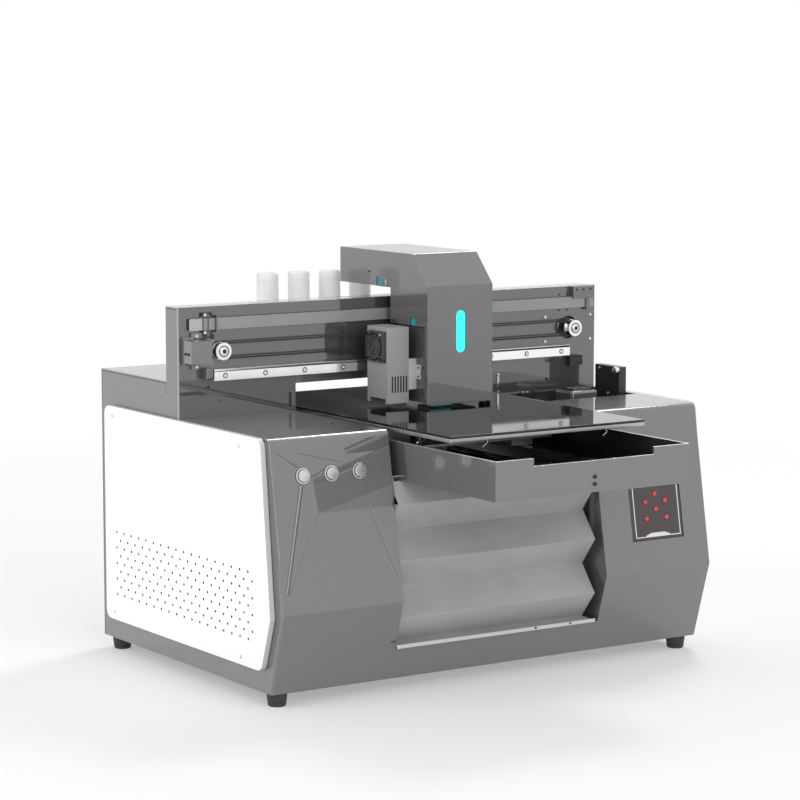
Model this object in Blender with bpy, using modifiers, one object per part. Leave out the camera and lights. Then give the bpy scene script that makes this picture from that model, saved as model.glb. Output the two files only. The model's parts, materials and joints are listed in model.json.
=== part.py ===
"""Desktop flatbed UV printer: a fixed portal over a bed that lifts and slides.

Units are metres with +Z up. The origin lies on the floor under the middle of
the outline box, +X runs along the portal and -Y is the operator's side.
"""
import math

import bmesh
import bpy
from mathutils import Matrix, Vector

PARTS_NAME = "flatbed_uv_printer"
TOOLS_NAME = "cutters_and_unions"

# Running and seating clearances
GAP = 0.0003            # between pieces that rest on each other
BORE_GAP = 0.0004       # round a shaft, rod or screw
OVERLAP = 0.001         # how far one half of a welded shape sinks in the other

# Casing
BODY_WIDTH = 0.6688
BODY_DEPTH = 0.4784
TRAY_OVERHANG = 0.1822
FOOT_HEIGHT = 0.018
DECK_HEIGHT = 0.337
TOWER_HEIGHT = 0.3832
PORTAL_HEIGHT = 0.4813
KNEE_HEIGHT = 0.1227
KNEE_TO_DECK = 0.0364   # how far the front leans back between knee and deck
KNEE_TO_FLOOR = 0.0314  # how far it tucks in below the knee
TOWER_DEPTH = 0.1818
PORTAL_DEPTH = 0.0356
DECK_RADIUS = 0.009
KNEE_RADIUS = 0.006
SHEET = 0.0025
SIDE_SHEET = 0.003
PAN_SHEET = 0.004
CHANNEL_HALF_WIDTH = 0.160
SILL_HEIGHT = 0.059
REAR_SILL_HEIGHT = 0.075

# White side panels
PANEL_THICKNESS = 0.0082
PANEL_REAR_INSET = 0.0232
PANEL_FRONT_INSET_TOP = 0.0075
PANEL_FRONT_INSET = 0.0214
PANEL_BOTTOM_HEIGHT = 0.047
PANEL_KNEE_HEIGHT = 0.1151
PANEL_RADIUS = 0.012

# Feet
FOOT_TOP_RADIUS = 0.014
FOOT_BOTTOM_RADIUS = 0.0115
FOOT_INSET = 0.018

# Portal
PORTAL_PLATE = 0.006
PORTAL_COVER_BOTTOM = 0.3685
BEAM_BOTTOM = 0.383
PORTAL_OPENING_HALF = 0.159
PORTAL_OPENING_BOTTOM = 0.100
PORTAL_SLOT_X = 0.1675
PORTAL_SLOT_WIDTH = 0.004
PORTAL_SLOT_TOP = 0.361
PORTAL_SLOT_BOTTOM = 0.341

# X rail, belt and pulleys
X_RAIL_START = -0.290
X_RAIL_END = 0.2815
X_RAIL_HEIGHT = 0.015
X_RAIL_DEPTH = 0.0135
X_RAIL_CENTRE_Z = 0.3928
X_RAIL_HOLE_PITCH = 0.060
X_RAIL_FIRST_HOLE = 0.0166
X_RAIL_HOLE_RADIUS = 0.00225
PULLEY_Z = 0.4235
IDLER_X = -0.2777
MOTOR_X = 0.2877
PULLEY_GROOVE_RADIUS = 0.0089
PULLEY_FLANGE_RADIUS = 0.0116
PULLEY_FRONT = 0.0178   # in front of the portal plate
PULLEY_WIDTH = 0.012
PULLEY_FLANGE = 0.0017
BELT_THICKNESS = 0.0012
BELT_WIDTH = 0.008
IDLER_PIN_RADIUS = 0.003
MOTOR_SHAFT_RADIUS = 0.0025
MOTOR_HOLE_RADIUS = 0.016
X_MOTOR_SIZE = 0.042
X_MOTOR_LENGTH = 0.024
IDLER_BLOCK_LENGTH = 0.0305
IDLER_BLOCK_START = -0.3305
IDLER_BLOCK_DEPTH = 0.0265
IDLER_BLOCK_HEIGHT = 0.0366
IDLER_FLANGE_LENGTH = 0.0335
IDLER_FLANGE_HEIGHT = 0.047
IDLER_FLANGE = 0.004

# Carriage
CARRIAGE_X = 0.0297
CARRIAGE_WIDTH = 0.1042
CARRIAGE_FRONT = 0.109   # in front of the portal plate
CARRIAGE_REAR = 0.107    # behind it
CARRIAGE_SIDE_REAR = 0.0188
CARRIAGE_BOTTOM = 0.3448
CARRIAGE_TOP = 0.5426
CARRIAGE_SIDE_BOTTOM = 0.4475
CARRIAGE_HOOD_BOTTOM = 0.4948
CARRIAGE_CHAMFER_DEPTH = 0.0379
CARRIAGE_CHAMFER_HEIGHT = 0.0411
CARRIAGE_RETURN = 0.006
CARRIAGE_SHEET = 0.002
BACK_PLATE_THICKNESS = 0.006
BACK_PLATE_WIDTH = 0.060
BACK_PLATE_BOTTOM = 0.352
BACK_PLATE_TOP = 0.470
SLIDER_HEIGHT = 0.031
SLIDER_CROWN = 0.0085
SLIDER_LIP = 0.009
HOOD_BAR_BOTTOM = 0.450
BELT_CLAMP_LENGTH = 0.020
BELT_CLAMP_HEIGHT = 0.008
HEAD_WIDTH = 0.068
HEAD_LEFT_RECESS = 0.0264
HEAD_DEPTH = 0.070
HEAD_BOTTOM = 0.3455
HEAD_TOP = 0.440

# Curing lamp and its fan
LAMP_WIDTH = 0.0333
LAMP_DEPTH = 0.050
LAMP_FRONT = 0.0765
LAMP_BOTTOM = 0.346
LAMP_TOP = 0.447
LAMP_LEFT = 0.0935       # left face, from the carriage's centre
LAMP_SHEET = 0.002
LAMP_NOTCH_HEIGHT = 0.006
LAMP_BRACKET_DEPTH = 0.010
LAMP_BRACKET_BOTTOM = 0.362
LAMP_BRACKET_TOP = 0.403
LAMP_BRACKET_FRONT = 0.0565
FAN_SIZE = 0.040
FAN_THICKNESS = 0.010
FAN_PROUD = 0.006
FAN_CENTRE_Z = 0.421
FAN_BORE_RADIUS = 0.0185
FAN_HUB_RADIUS = 0.007
FAN_GRILL = 0.0014
FAN_RING_WIDTH = 0.0014
FAN_RING_RADII = (0.0105, 0.0145)
FAN_BLADES = 7
FAN_BLADE_THICKNESS = 0.0012
FAN_BLADE_PITCH = 35.0
FAN_SHAFT_RADIUS = 0.0015
FAN_CORNER_RADIUS = 0.004

# Service bay on the right deck
BAY_LEFT = 0.1763
BAY_RIGHT = 0.3285
BAY_FRONT = 0.1045       # in front of the portal plate
SHELF_HEIGHT = 0.300
SHELF_THICKNESS = 0.004
GUARD_THICKNESS = 0.0125
GUARD_DEPTH = 0.055
GUARD_FRONT = 0.0818
GUARD_TOP = 0.3725
STATION_LEFT = 0.245
STATION_WIDTH = 0.047
STATION_DEPTH = 0.040
STATION_FRONT = 0.0668
STATION_TOP = 0.3415
STATION_CHAMFER = 0.003
CAP_WIDTH = 0.033
CAP_DEPTH = 0.028
CAP_HEIGHT = 0.010
CAP_PROUD = 0.002
CAP_TRAVEL_DOWN = 0.004

# Bed: tray, rails, screw, slide, frame and glass
TRAY_HALF_WIDTH = 0.1486
TRAY_LENGTH = 0.6464
TRAY_BOTTOM = 0.2719
TRAY_TOP = 0.3209
TRAY_WALL = 0.003
TRAY_NOTCH_HALF = 0.092
TRAY_NOTCH_DEPTH = 0.0096
TRAY_HOLE_RADIUS = 0.0022
TRAY_HOLE_DROPS = (0.0299, 0.0389)
BED_HALF_WIDTH = 0.1504
BED_LENGTH = 0.5012
BED_CENTRE = 0.0994      # in front of the portal plate
BED_TOP = 0.3407
GLASS_THICKNESS = 0.0028
BED_FRAME_THICKNESS = 0.005
Y_RAIL_X = 0.095
Y_RAIL_WIDTH = 0.015
Y_RAIL_HEIGHT = 0.0140
Y_RAIL_LENGTH = 0.627
Y_RAIL_HOLE_PITCH = 0.060
Y_SCREW_RADIUS = 0.005
Y_MOTOR_SIZE = 0.028
Y_MOTOR_LENGTH = 0.045
Y_SLIDE_HALF_WIDTH = 0.112
Y_SLIDE_LENGTH = 0.204
Y_SLIDE_THICKNESS = 0.0035
Y_SLIDE_BOTTOM = 0.3045
Y_BLOCK_WIDTH = 0.034
Y_BLOCK_LENGTH = 0.040
Y_BLOCK_SPACING = 0.080
Y_NUT_WIDTH = 0.026
Y_NUT_LENGTH = 0.030
Y_POST_RADIUS = 0.008
Y_POST_X = 0.090
Y_POST_SPACING = 0.170

# Lift
LIFT_TRAVEL = 0.150
LIFT_Y = 0.0642          # behind the portal plate's front
LIFT_ARM_DEPTH = 0.040
LIFT_ARM_THICKNESS = 0.013
LIFT_SCREW_X = 0.190
LIFT_ROD_X = 0.222
LIFT_ARM_END = 0.018     # of arm past the rod's centre
LIFT_SHAFT_RADIUS = 0.008
LIFT_SHAFT_HEAD = 0.006  # clear space above the shafts, under the tower top
LIFT_SLOT_MARGIN = 0.004
LIFT_MOTOR_SIZE = 0.042
LIFT_MOTOR_HEIGHT = 0.050
LIFT_MOTOR_X = 0.275

# Folding dust cover under the bed
BELLOWS_LEFT = 0.1597     # out to the channel's left wall
BELLOWS_RIGHT = 0.150
BELLOWS_FABRIC = 0.0015
BELLOWS_BOTTOM = 0.0625
BELLOWS_FOLD = 0.0362
BELLOWS_RIDGE = 0.0122   # behind the knee
BELLOWS_VALLEY = 0.0402
BELLOWS_LIP = 0.022

# Controls on the slanted front
BUTTON_XS = (-0.2899, -0.2487, -0.2075)
BUTTON_ALONG = 0.1689    # up the slant from the knee
BUTTON_RADIUS = 0.0077
BUTTON_LENGTH = 0.014
BUTTON_PROUD = 0.0035
CONSOLE_X = 0.2518
CONSOLE_ALONG = 0.0748
CONSOLE_WIDTH = 0.0865
CONSOLE_HEIGHT = 0.0706
CONSOLE_DEPTH = 0.009
CONSOLE_RECESS = 0.0012
CONSOLE_FLANGE = 0.005
CONSOLE_FLANGE_THICKNESS = 0.002
KEY_RADIUS = 0.00325
KEY_PROUD = 0.0018
KEY_LENGTH = 0.0045
KEY_TRAVEL_ROOM = 0.0015
KEY_PLACES = ((0.0, 0.0259), (-0.0167, 0.0159), (0.0167, 0.0159),
              (0.0, 0.0053), (-0.0167, -0.0065), (0.0167, -0.0065))

# Ink bottles and their rack
BOTTLE_COUNT = 4
BOTTLE_RADIUS = 0.0150
BOTTLE_PITCH = 0.0497
BOTTLE_FIRST_X = -0.1215
BOTTLE_BEHIND = 0.1352   # behind the portal plate's front
BOTTLE_TOP = 0.5085
BOTTLE_CAP_RADIUS = 0.0118
BOTTLE_CAP_HEIGHT = 0.010
RACK_HEIGHT = 0.392
RACK_SHEET = 0.003
RACK_MARGIN = 0.012
RACK_FLANGE_HEIGHT = 0.040
RACK_LIP = 0.014

# Round-piece resolution
ROUND_STEPS = 32
SMALL_STEPS = 20
ARC_STEPS = 4
SMOOTH_ANGLE = math.radians(35.0)

# Places that follow from the sizes
TOTAL_DEPTH = BODY_DEPTH + TRAY_OVERHANG
REAR_Y = TOTAL_DEPTH / 2.0
TRAY_FRONT_Y = -TOTAL_DEPTH / 2.0
KNEE_Y = REAR_Y - BODY_DEPTH
PORTAL_Y = REAR_Y - TOWER_DEPTH - PORTAL_DEPTH
PORTAL_REAR_Y = PORTAL_Y + PORTAL_DEPTH
DECK_FRONT_Y = KNEE_Y + KNEE_TO_DECK
FLOOR_FRONT_Y = KNEE_Y + KNEE_TO_FLOOR
HALF_WIDTH = BODY_WIDTH / 2.0
INNER_HALF_WIDTH = HALF_WIDTH - SIDE_SHEET - GAP
PAN_TOP = FOOT_HEIGHT + PAN_SHEET
COVER_INSET = SHEET + GAP
X_RAIL_BACK_Y = PORTAL_Y - GAP
X_RAIL_FRONT_Y = X_RAIL_BACK_Y - X_RAIL_DEPTH
PULLEY_FRONT_Y = PORTAL_Y - PULLEY_FRONT
PULLEY_MID_Y = PULLEY_FRONT_Y + PULLEY_WIDTH / 2.0
BELT_RADIUS = PULLEY_GROOVE_RADIUS + GAP
BACK_PLATE_BACK_Y = X_RAIL_FRONT_Y - GAP - SLIDER_CROWN
BACK_PLATE_FRONT_Y = BACK_PLATE_BACK_Y - BACK_PLATE_THICKNESS
CARRIAGE_LEFT = CARRIAGE_X - CARRIAGE_WIDTH / 2.0
CARRIAGE_RIGHT = CARRIAGE_X + CARRIAGE_WIDTH / 2.0
HEAD_LEFT = CARRIAGE_LEFT + HEAD_LEFT_RECESS
BED_CENTRE_Y = PORTAL_Y - BED_CENTRE
TRAY_REAR_Y = TRAY_FRONT_Y + TRAY_LENGTH
TRAY_FLOOR = TRAY_BOTTOM + TRAY_WALL
Y_AXIS_Z = TRAY_FLOOR + GAP + Y_MOTOR_SIZE / 2.0
LIFT_AXIS_Y = PORTAL_Y + LIFT_Y


# --- helpers --------------------------------------------------------------

def clear_scene():
    """Remove every object and empty the collections of an old run."""
    for old in list(bpy.data.objects):
        bpy.data.objects.remove(old, do_unlink=True)


def new_collection(name):
    """Return a collection linked under the scene."""
    made = bpy.data.collections.new(name)
    bpy.context.scene.collection.children.link(made)
    return made


def new_material(name, colour, roughness, metallic=0.0):
    """Return a plain Principled material."""
    made = bpy.data.materials.new(name)
    made.use_nodes = True
    shader = made.node_tree.nodes["Principled BSDF"]
    shader.inputs["Base Color"].default_value = (*colour, 1.0)
    shader.inputs["Roughness"].default_value = roughness
    shader.inputs["Metallic"].default_value = metallic
    made.diffuse_color = (*colour, 1.0)
    return made


def register(item, material=None, parent=None):
    """Put an object in the parts collection, or in the tools one."""
    if material is None:
        TOOLS.objects.link(item)
        item.hide_render = True
        item.display_type = "WIRE"
    else:
        PARTS.objects.link(item)
        item.data.materials.append(material)
    if parent is not None:
        item.parent = parent
    return item


def smooth(item):
    """Shade round sides smooth and keep the hard edges."""
    item.data.shade_smooth()
    item.data.set_sharp_from_angle(angle=SMOOTH_ANGLE)
    return item


def mesh_object(name, mesh_builder, material, origin=(0.0, 0.0, 0.0), parent=None):
    """Make an object from a bmesh whose points are given from its origin."""
    mesh = bpy.data.meshes.new(name)
    mesh_builder.normal_update()
    mesh_builder.to_mesh(mesh)
    mesh_builder.free()
    item = bpy.data.objects.new(name, mesh)
    item.location = origin
    return register(item, material, parent)


def box(name, low, high, material=None, parent=None):
    """Make a box between two corners, with its origin in its middle."""
    low, high = Vector(low), Vector(high)
    builder = bmesh.new()
    bmesh.ops.create_cube(builder, size=1.0)
    bmesh.ops.scale(builder, vec=high - low, verts=builder.verts)
    return mesh_object(name, builder, material, (low + high) / 2.0, parent)


def cylinder(name, centre, radius, length, axis, material=None, parent=None, steps=ROUND_STEPS):
    """Make a closed cylinder along X, Y or Z about its middle."""
    turn = {"X": Matrix.Rotation(math.pi / 2.0, 4, "Y"),
            "Y": Matrix.Rotation(math.pi / 2.0, 4, "X"),
            "Z": Matrix.Identity(4)}[axis]
    builder = bmesh.new()
    bmesh.ops.create_cone(builder, cap_ends=True, segments=steps, radius1=radius,
                          radius2=radius, depth=length, matrix=turn)
    return smooth(mesh_object(name, builder, material, centre, parent))


def curve_outline(curve, points):
    """Add one closed outline to a flat curve."""
    spline = curve.splines.new("POLY")
    spline.points.add(len(points) - 1)
    for target, point in zip(spline.points, points):
        target.co = (point[0], point[1], 0.0, 1.0)
    spline.use_cyclic_u = True


def prism(name, outline, span, axis, material=None, parent=None, holes=()):
    """Extrude a flat outline along an axis, with holes through it.

    The outline lies in Y and Z for axis X, in X and Z for Y, in X and Y for Z.
    """
    curve = bpy.data.curves.new(name, "CURVE")
    curve.dimensions = "2D"
    curve.fill_mode = "BOTH"
    curve.extrude = abs(span[1] - span[0]) / 2.0
    curve_outline(curve, outline)
    for hole in holes:
        curve_outline(curve, hole)
    drawn = bpy.data.objects.new(name + "_outline", curve)
    bpy.context.scene.collection.objects.link(drawn)
    turn = {"X": Matrix(((0, 0, 1), (1, 0, 0), (0, 1, 0))),
            "Y": Matrix(((1, 0, 0), (0, 0, 1), (0, 1, 0))),
            "Z": Matrix.Identity(3)}[axis]
    bpy.context.view_layer.update()
    seen = drawn.evaluated_get(bpy.context.evaluated_depsgraph_get())
    mesh = bpy.data.meshes.new_from_object(seen)
    builder = bmesh.new()
    builder.from_mesh(mesh)
    bmesh.ops.remove_doubles(builder, verts=builder.verts, dist=0.00001)
    bmesh.ops.transform(builder, matrix=turn.to_4x4(), verts=builder.verts)
    bmesh.ops.recalc_face_normals(builder, faces=builder.faces)
    bpy.data.objects.remove(drawn, do_unlink=True)
    bpy.data.curves.remove(curve)
    bpy.data.meshes.remove(mesh)
    origin = Vector((0.0, 0.0, 0.0))
    origin["XYZ".index(axis)] = (span[0] + span[1]) / 2.0
    return mesh_object(name, builder, material, origin, parent)


def turned(name, profile, axis, origin, material=None, parent=None, steps=ROUND_STEPS):
    """Turn a profile of (radius, height) points about the object's own axis."""
    mesh = bpy.data.meshes.new(name)
    points = [(radius, 0.0, height) for radius, height in profile]
    closed = profile[0][0] > 0.0 and profile[-1][0] > 0.0
    pairs = [(i, i + 1) for i in range(len(points) - 1)]
    if closed:
        pairs.append((len(points) - 1, 0))
    mesh.from_pydata(points, pairs, [])
    item = bpy.data.objects.new(name, mesh)
    item.location = origin
    item.rotation_euler = {"X": (0.0, math.pi / 2.0, 0.0),
                           "Y": (math.pi / 2.0, 0.0, 0.0),
                           "Z": (0.0, 0.0, 0.0)}[axis]
    screw = item.modifiers.new("turn", "SCREW")
    screw.axis = "Z"
    screw.steps = steps
    screw.render_steps = steps
    screw.use_merge_vertices = True
    screw.merge_threshold = 0.00001
    screw.use_smooth_shade = True
    return register(item, material, parent)


def boolean(target, tools, operation="DIFFERENCE"):
    """Cut, or join, one shape with others, in order."""
    for tool in tools:
        step = target.modifiers.new(tool.name, "BOOLEAN")
        step.operation = operation
        step.solver = "EXACT"
        step.object = tool
    return target


def join(target, tools):
    """Weld shapes that overlap into one body."""
    return boolean(target, tools, "UNION")


def offset_path(points, distance):
    """Move an open path sideways to its right, keeping its corners mitred."""
    lines = []
    for start, end in zip(points, points[1:]):
        run = Vector((end[0] - start[0], end[1] - start[1])).normalized()
        side = Vector((run.y, -run.x)) * distance
        lines.append((Vector(start) + side, run))
    moved = [lines[0][0]]
    for (base, run), (other, turn) in zip(lines, lines[1:]):
        cross = run.x * turn.y - run.y * turn.x
        reach = ((other.x - base.x) * turn.y - (other.y - base.y) * turn.x) / cross
        moved.append(base + run * reach)
    last = Vector(points[-1]) + Vector((lines[-1][1].y, -lines[-1][1].x)) * distance
    return [(p.x, p.y) for p in moved + [last]]


def at_height(start, end, height):
    """Return the point at one height on the line through two points."""
    share = (height - start[1]) / (end[1] - start[1])
    return (start[0] + (end[0] - start[0]) * share, height)


def fillet(points, radii, steps=ARC_STEPS):
    """Round the corners of a path; a radius of 0 keeps its corner sharp."""
    made = []
    for i, (corner, radius) in enumerate(zip(points, radii)):
        if radius == 0.0:
            made.append(tuple(corner))
            continue
        corner = Vector(corner)
        to_last = (Vector(points[i - 1]) - corner).normalized()
        to_next = (Vector(points[(i + 1) % len(points)]) - corner).normalized()
        half = to_last.angle(to_next) / 2.0
        centre = corner + (to_last + to_next).normalized() * (radius / math.sin(half))
        start = corner + to_last * (radius / math.tan(half)) - centre
        end = corner + to_next * (radius / math.tan(half)) - centre
        sweep = math.atan2(start.x * end.y - start.y * end.x, start.dot(end))
        for k in range(steps + 1):
            turn = sweep * k / steps
            made.append((centre.x + start.x * math.cos(turn) - start.y * math.sin(turn),
                         centre.y + start.x * math.sin(turn) + start.y * math.cos(turn)))
    return made


def bent_sheet(name, path, half_width, thickness, material):
    """Bend a full-width sheet along a path in Y and Z, wall on its inner side."""
    builder = bmesh.new()
    row = [builder.verts.new((-half_width, y, z)) for y, z in path]
    edges = [builder.edges.new(pair) for pair in zip(row, row[1:])]
    swept = bmesh.ops.extrude_edge_only(builder, edges=edges)
    moved = [part for part in swept["geom"] if isinstance(part, bmesh.types.BMVert)]
    bmesh.ops.translate(builder, vec=(2.0 * half_width, 0.0, 0.0), verts=moved)
    builder.normal_update()
    top = max(builder.faces, key=lambda face: face.calc_center_median().z)
    if top.normal.z < 0.0:
        bmesh.ops.reverse_faces(builder, faces=builder.faces)
    item = mesh_object(name, builder, material)
    wall = item.modifiers.new("wall", "SOLIDIFY")
    wall.thickness = thickness
    wall.offset = -1.0
    wall.use_even_offset = True
    return item


def circle(centre, radius, steps=SMALL_STEPS):
    """Return the points of a circle in a plane."""
    return [(centre[0] + radius * math.cos(2.0 * math.pi * i / steps),
             centre[1] + radius * math.sin(2.0 * math.pi * i / steps)) for i in range(steps)]


def rectangle(low, high):
    """Return a rectangle's corners in a plane."""
    return [(low[0], low[1]), (high[0], low[1]), (high[0], high[1]), (low[0], high[1])]


# --- casing ---------------------------------------------------------------

def front_path(inset=0.0):
    """Return the front's sharp path, from the deck's rear edge to the floor edge."""
    outer = [(PORTAL_Y - GAP, DECK_HEIGHT), (DECK_FRONT_Y, DECK_HEIGHT),
             (KNEE_Y, KNEE_HEIGHT), (FLOOR_FRONT_Y, FOOT_HEIGHT)]
    if inset == 0.0:
        return outer
    moved = offset_path(outer, -inset)
    moved[-1] = at_height(moved[-2], moved[-1], FOOT_HEIGHT)
    return moved


def slant_frame():
    """Return an empty on the knee, with local Y up the slant and Z out of it."""
    lean = math.atan2(DECK_HEIGHT - KNEE_HEIGHT, KNEE_TO_DECK)
    empty = bpy.data.objects.new("slant_frame", None)
    empty.location = (0.0, KNEE_Y, KNEE_HEIGHT)
    empty.rotation_euler = (lean, 0.0, 0.0)
    PARTS.objects.link(empty)
    return empty


def build_base(paint):
    """The floor pan with its rear sill, on four feet."""
    inner = front_path(COVER_INSET)
    pan_front = at_height(inner[-2], inner[-1], PAN_TOP)[0]
    pan = box("base_pan", (-INNER_HALF_WIDTH, max(pan_front, inner[-1][0]), FOOT_HEIGHT),
              (INNER_HALF_WIDTH, REAR_Y - COVER_INSET, PAN_TOP), paint)
    sill_half = CHANNEL_HALF_WIDTH - GAP
    sill = box("rear_sill_tool", (-sill_half, REAR_Y - COVER_INSET - OVERLAP, FOOT_HEIGHT),
               (sill_half, REAR_Y, REAR_SILL_HEIGHT))
    join(pan, [sill])


def build_feet(rubber):
    """Four tapered rubber feet under the pan's corners."""
    profile = [(0.0, FOOT_HEIGHT - GAP), (FOOT_TOP_RADIUS, FOOT_HEIGHT - GAP),
               (FOOT_BOTTOM_RADIUS, 0.0), (0.0, 0.0)]
    for side, x in (("left", FOOT_INSET - HALF_WIDTH), ("right", HALF_WIDTH - FOOT_INSET)):
        for end, y in (("front", FLOOR_FRONT_Y + FOOT_INSET), ("rear", REAR_Y - FOOT_INSET)):
            turned(f"foot_{end}_{side}", profile, "Z", (x, y, 0.0), rubber, steps=SMALL_STEPS)


def build_side_plates(paint):
    """Two stepped side plates that also close the portal's ends."""
    inner = front_path(COVER_INSET)
    rear = REAR_Y - COVER_INSET
    cover_foot = PORTAL_COVER_BOTTOM - GAP
    outline = [(rear, FOOT_HEIGHT), (rear, TOWER_HEIGHT - COVER_INSET),
               (PORTAL_REAR_Y + GAP, TOWER_HEIGHT - COVER_INSET),
               (PORTAL_REAR_Y + GAP, cover_foot), (PORTAL_REAR_Y - COVER_INSET, cover_foot),
               (PORTAL_REAR_Y - COVER_INSET, PORTAL_HEIGHT - COVER_INSET),
               (PORTAL_Y + PORTAL_PLATE + GAP, PORTAL_HEIGHT - COVER_INSET),
               (PORTAL_Y + PORTAL_PLATE + GAP, DECK_HEIGHT - COVER_INSET)]
    radii = [0.0] * len(outline) + [DECK_RADIUS - COVER_INSET, KNEE_RADIUS - COVER_INSET, 0.0]
    outline = fillet(outline + inner[1:], radii)
    for side, sign in (("left", -1.0), ("right", 1.0)):
        span = (sign * (HALF_WIDTH - SIDE_SHEET), sign * HALF_WIDTH)
        prism(f"{side}_side_plate", outline, span, "X", paint)


def build_side_panels(paint):
    """Two white panels that stand proud of the side plates."""
    knee_line = (DECK_FRONT_Y, DECK_HEIGHT), (KNEE_Y, KNEE_HEIGHT)
    floor_line = (KNEE_Y, KNEE_HEIGHT), (FLOOR_FRONT_Y, FOOT_HEIGHT)
    rear = REAR_Y - PANEL_REAR_INSET
    corners = [(rear, PANEL_BOTTOM_HEIGHT), (rear, DECK_HEIGHT),
               (knee_line[0][0] + PANEL_FRONT_INSET_TOP, DECK_HEIGHT),
               (KNEE_Y + PANEL_FRONT_INSET, PANEL_KNEE_HEIGHT),
               (at_height(*floor_line, PANEL_BOTTOM_HEIGHT)[0] + PANEL_FRONT_INSET,
                PANEL_BOTTOM_HEIGHT)]
    outline = fillet(corners, [PANEL_RADIUS] * len(corners))
    for side, sign in (("left", -1.0), ("right", 1.0)):
        span = (sign * (HALF_WIDTH + GAP), sign * (HALF_WIDTH + GAP + PANEL_THICKNESS))
        prism(f"{side}_side_panel", outline, span, "X", paint)


def build_front_cover(paint, slant):
    """One bent front sheet, open in the middle, with bay, console and button holes."""
    path = fillet(front_path(), [0.0, DECK_RADIUS, KNEE_RADIUS, 0.0])
    cover = bent_sheet("front_cover", path, HALF_WIDTH, SHEET, paint)
    reach = 2.0 * SHEET
    cutters = [
        box("channel_cutter", (-CHANNEL_HALF_WIDTH, KNEE_Y - reach, SILL_HEIGHT),
            (CHANNEL_HALF_WIDTH, PORTAL_Y + reach, DECK_HEIGHT + reach)),
        box("bay_cutter", (BAY_LEFT, PORTAL_Y - BAY_FRONT, DECK_HEIGHT - reach),
            (BAY_RIGHT, PORTAL_Y - COVER_INSET, DECK_HEIGHT + reach)),
        box("console_cutter",
            (CONSOLE_X - CONSOLE_WIDTH / 2.0, CONSOLE_ALONG - CONSOLE_HEIGHT / 2.0, -reach),
            (CONSOLE_X + CONSOLE_WIDTH / 2.0, CONSOLE_ALONG + CONSOLE_HEIGHT / 2.0, reach),
            parent=slant)]
    for number, x in enumerate(BUTTON_XS, 1):
        cutters.append(cylinder(f"button_cutter_{number}", (x, BUTTON_ALONG, 0.0),
                                BUTTON_RADIUS + BORE_GAP, 2.0 * reach, "Z", parent=slant,
                                steps=SMALL_STEPS))
    boolean(cover, cutters)


def build_channel_walls(paint):
    """Two walls between the front housings and the bed's channel."""
    inner = front_path(COVER_INSET)
    base = PAN_TOP + GAP
    outline = [(PORTAL_Y - GAP, base), (PORTAL_Y - GAP, DECK_HEIGHT - COVER_INSET)]
    foot = at_height(inner[-2], inner[-1], base)
    radii = [0.0, 0.0, DECK_RADIUS - COVER_INSET, KNEE_RADIUS - COVER_INSET, 0.0]
    outline = fillet(outline + inner[1:3] + [foot], radii)
    for side, sign in (("left", -1.0), ("right", 1.0)):
        span = (sign * CHANNEL_HALF_WIDTH, sign * (CHANNEL_HALF_WIDTH + SHEET))
        prism(f"{side}_channel_wall", outline, span, "X", paint)


def build_rear_covers(paint):
    """Two tower covers with top, back and inner wall, slotted for the lift arms."""
    reach = 0.01
    slot_low = TRAY_BOTTOM - LIFT_ARM_THICKNESS - LIFT_TRAVEL - LIFT_SLOT_MARGIN
    slot_high = TRAY_BOTTOM + LIFT_SLOT_MARGIN
    slot_half = LIFT_ARM_DEPTH / 2.0 + LIFT_SLOT_MARGIN
    for side, sign in (("left", -1.0), ("right", 1.0)):
        inner_x, outer_x = sign * CHANNEL_HALF_WIDTH, sign * HALF_WIDTH
        hollow_x = sign * (CHANNEL_HALF_WIDTH + SHEET)
        past_x = sign * (HALF_WIDTH + reach)
        shell = box(f"{side}_rear_cover",
                    (min(inner_x, outer_x), PORTAL_REAR_Y + GAP, FOOT_HEIGHT),
                    (max(inner_x, outer_x), REAR_Y, TOWER_HEIGHT), paint)
        hollow = box(f"{side}_tower_cutter",
                     (min(hollow_x, past_x), PORTAL_REAR_Y - reach, 0.0),
                     (max(hollow_x, past_x), REAR_Y - SHEET, TOWER_HEIGHT - SHEET))
        slot = box(f"{side}_slot_cutter",
                   (min(inner_x, hollow_x) - reach, LIFT_AXIS_Y - slot_half, slot_low),
                   (max(inner_x, hollow_x) + reach, LIFT_AXIS_Y + slot_half, slot_high))
        step = box(f"{side}_pan_cutter",
                   (min(inner_x, hollow_x) - reach, PORTAL_REAR_Y - reach, 0.0),
                   (max(inner_x, hollow_x) + reach, REAR_Y - SHEET, PAN_TOP + GAP))
        boolean(shell, [hollow, slot, step])


# --- portal and X drive ---------------------------------------------------

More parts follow.
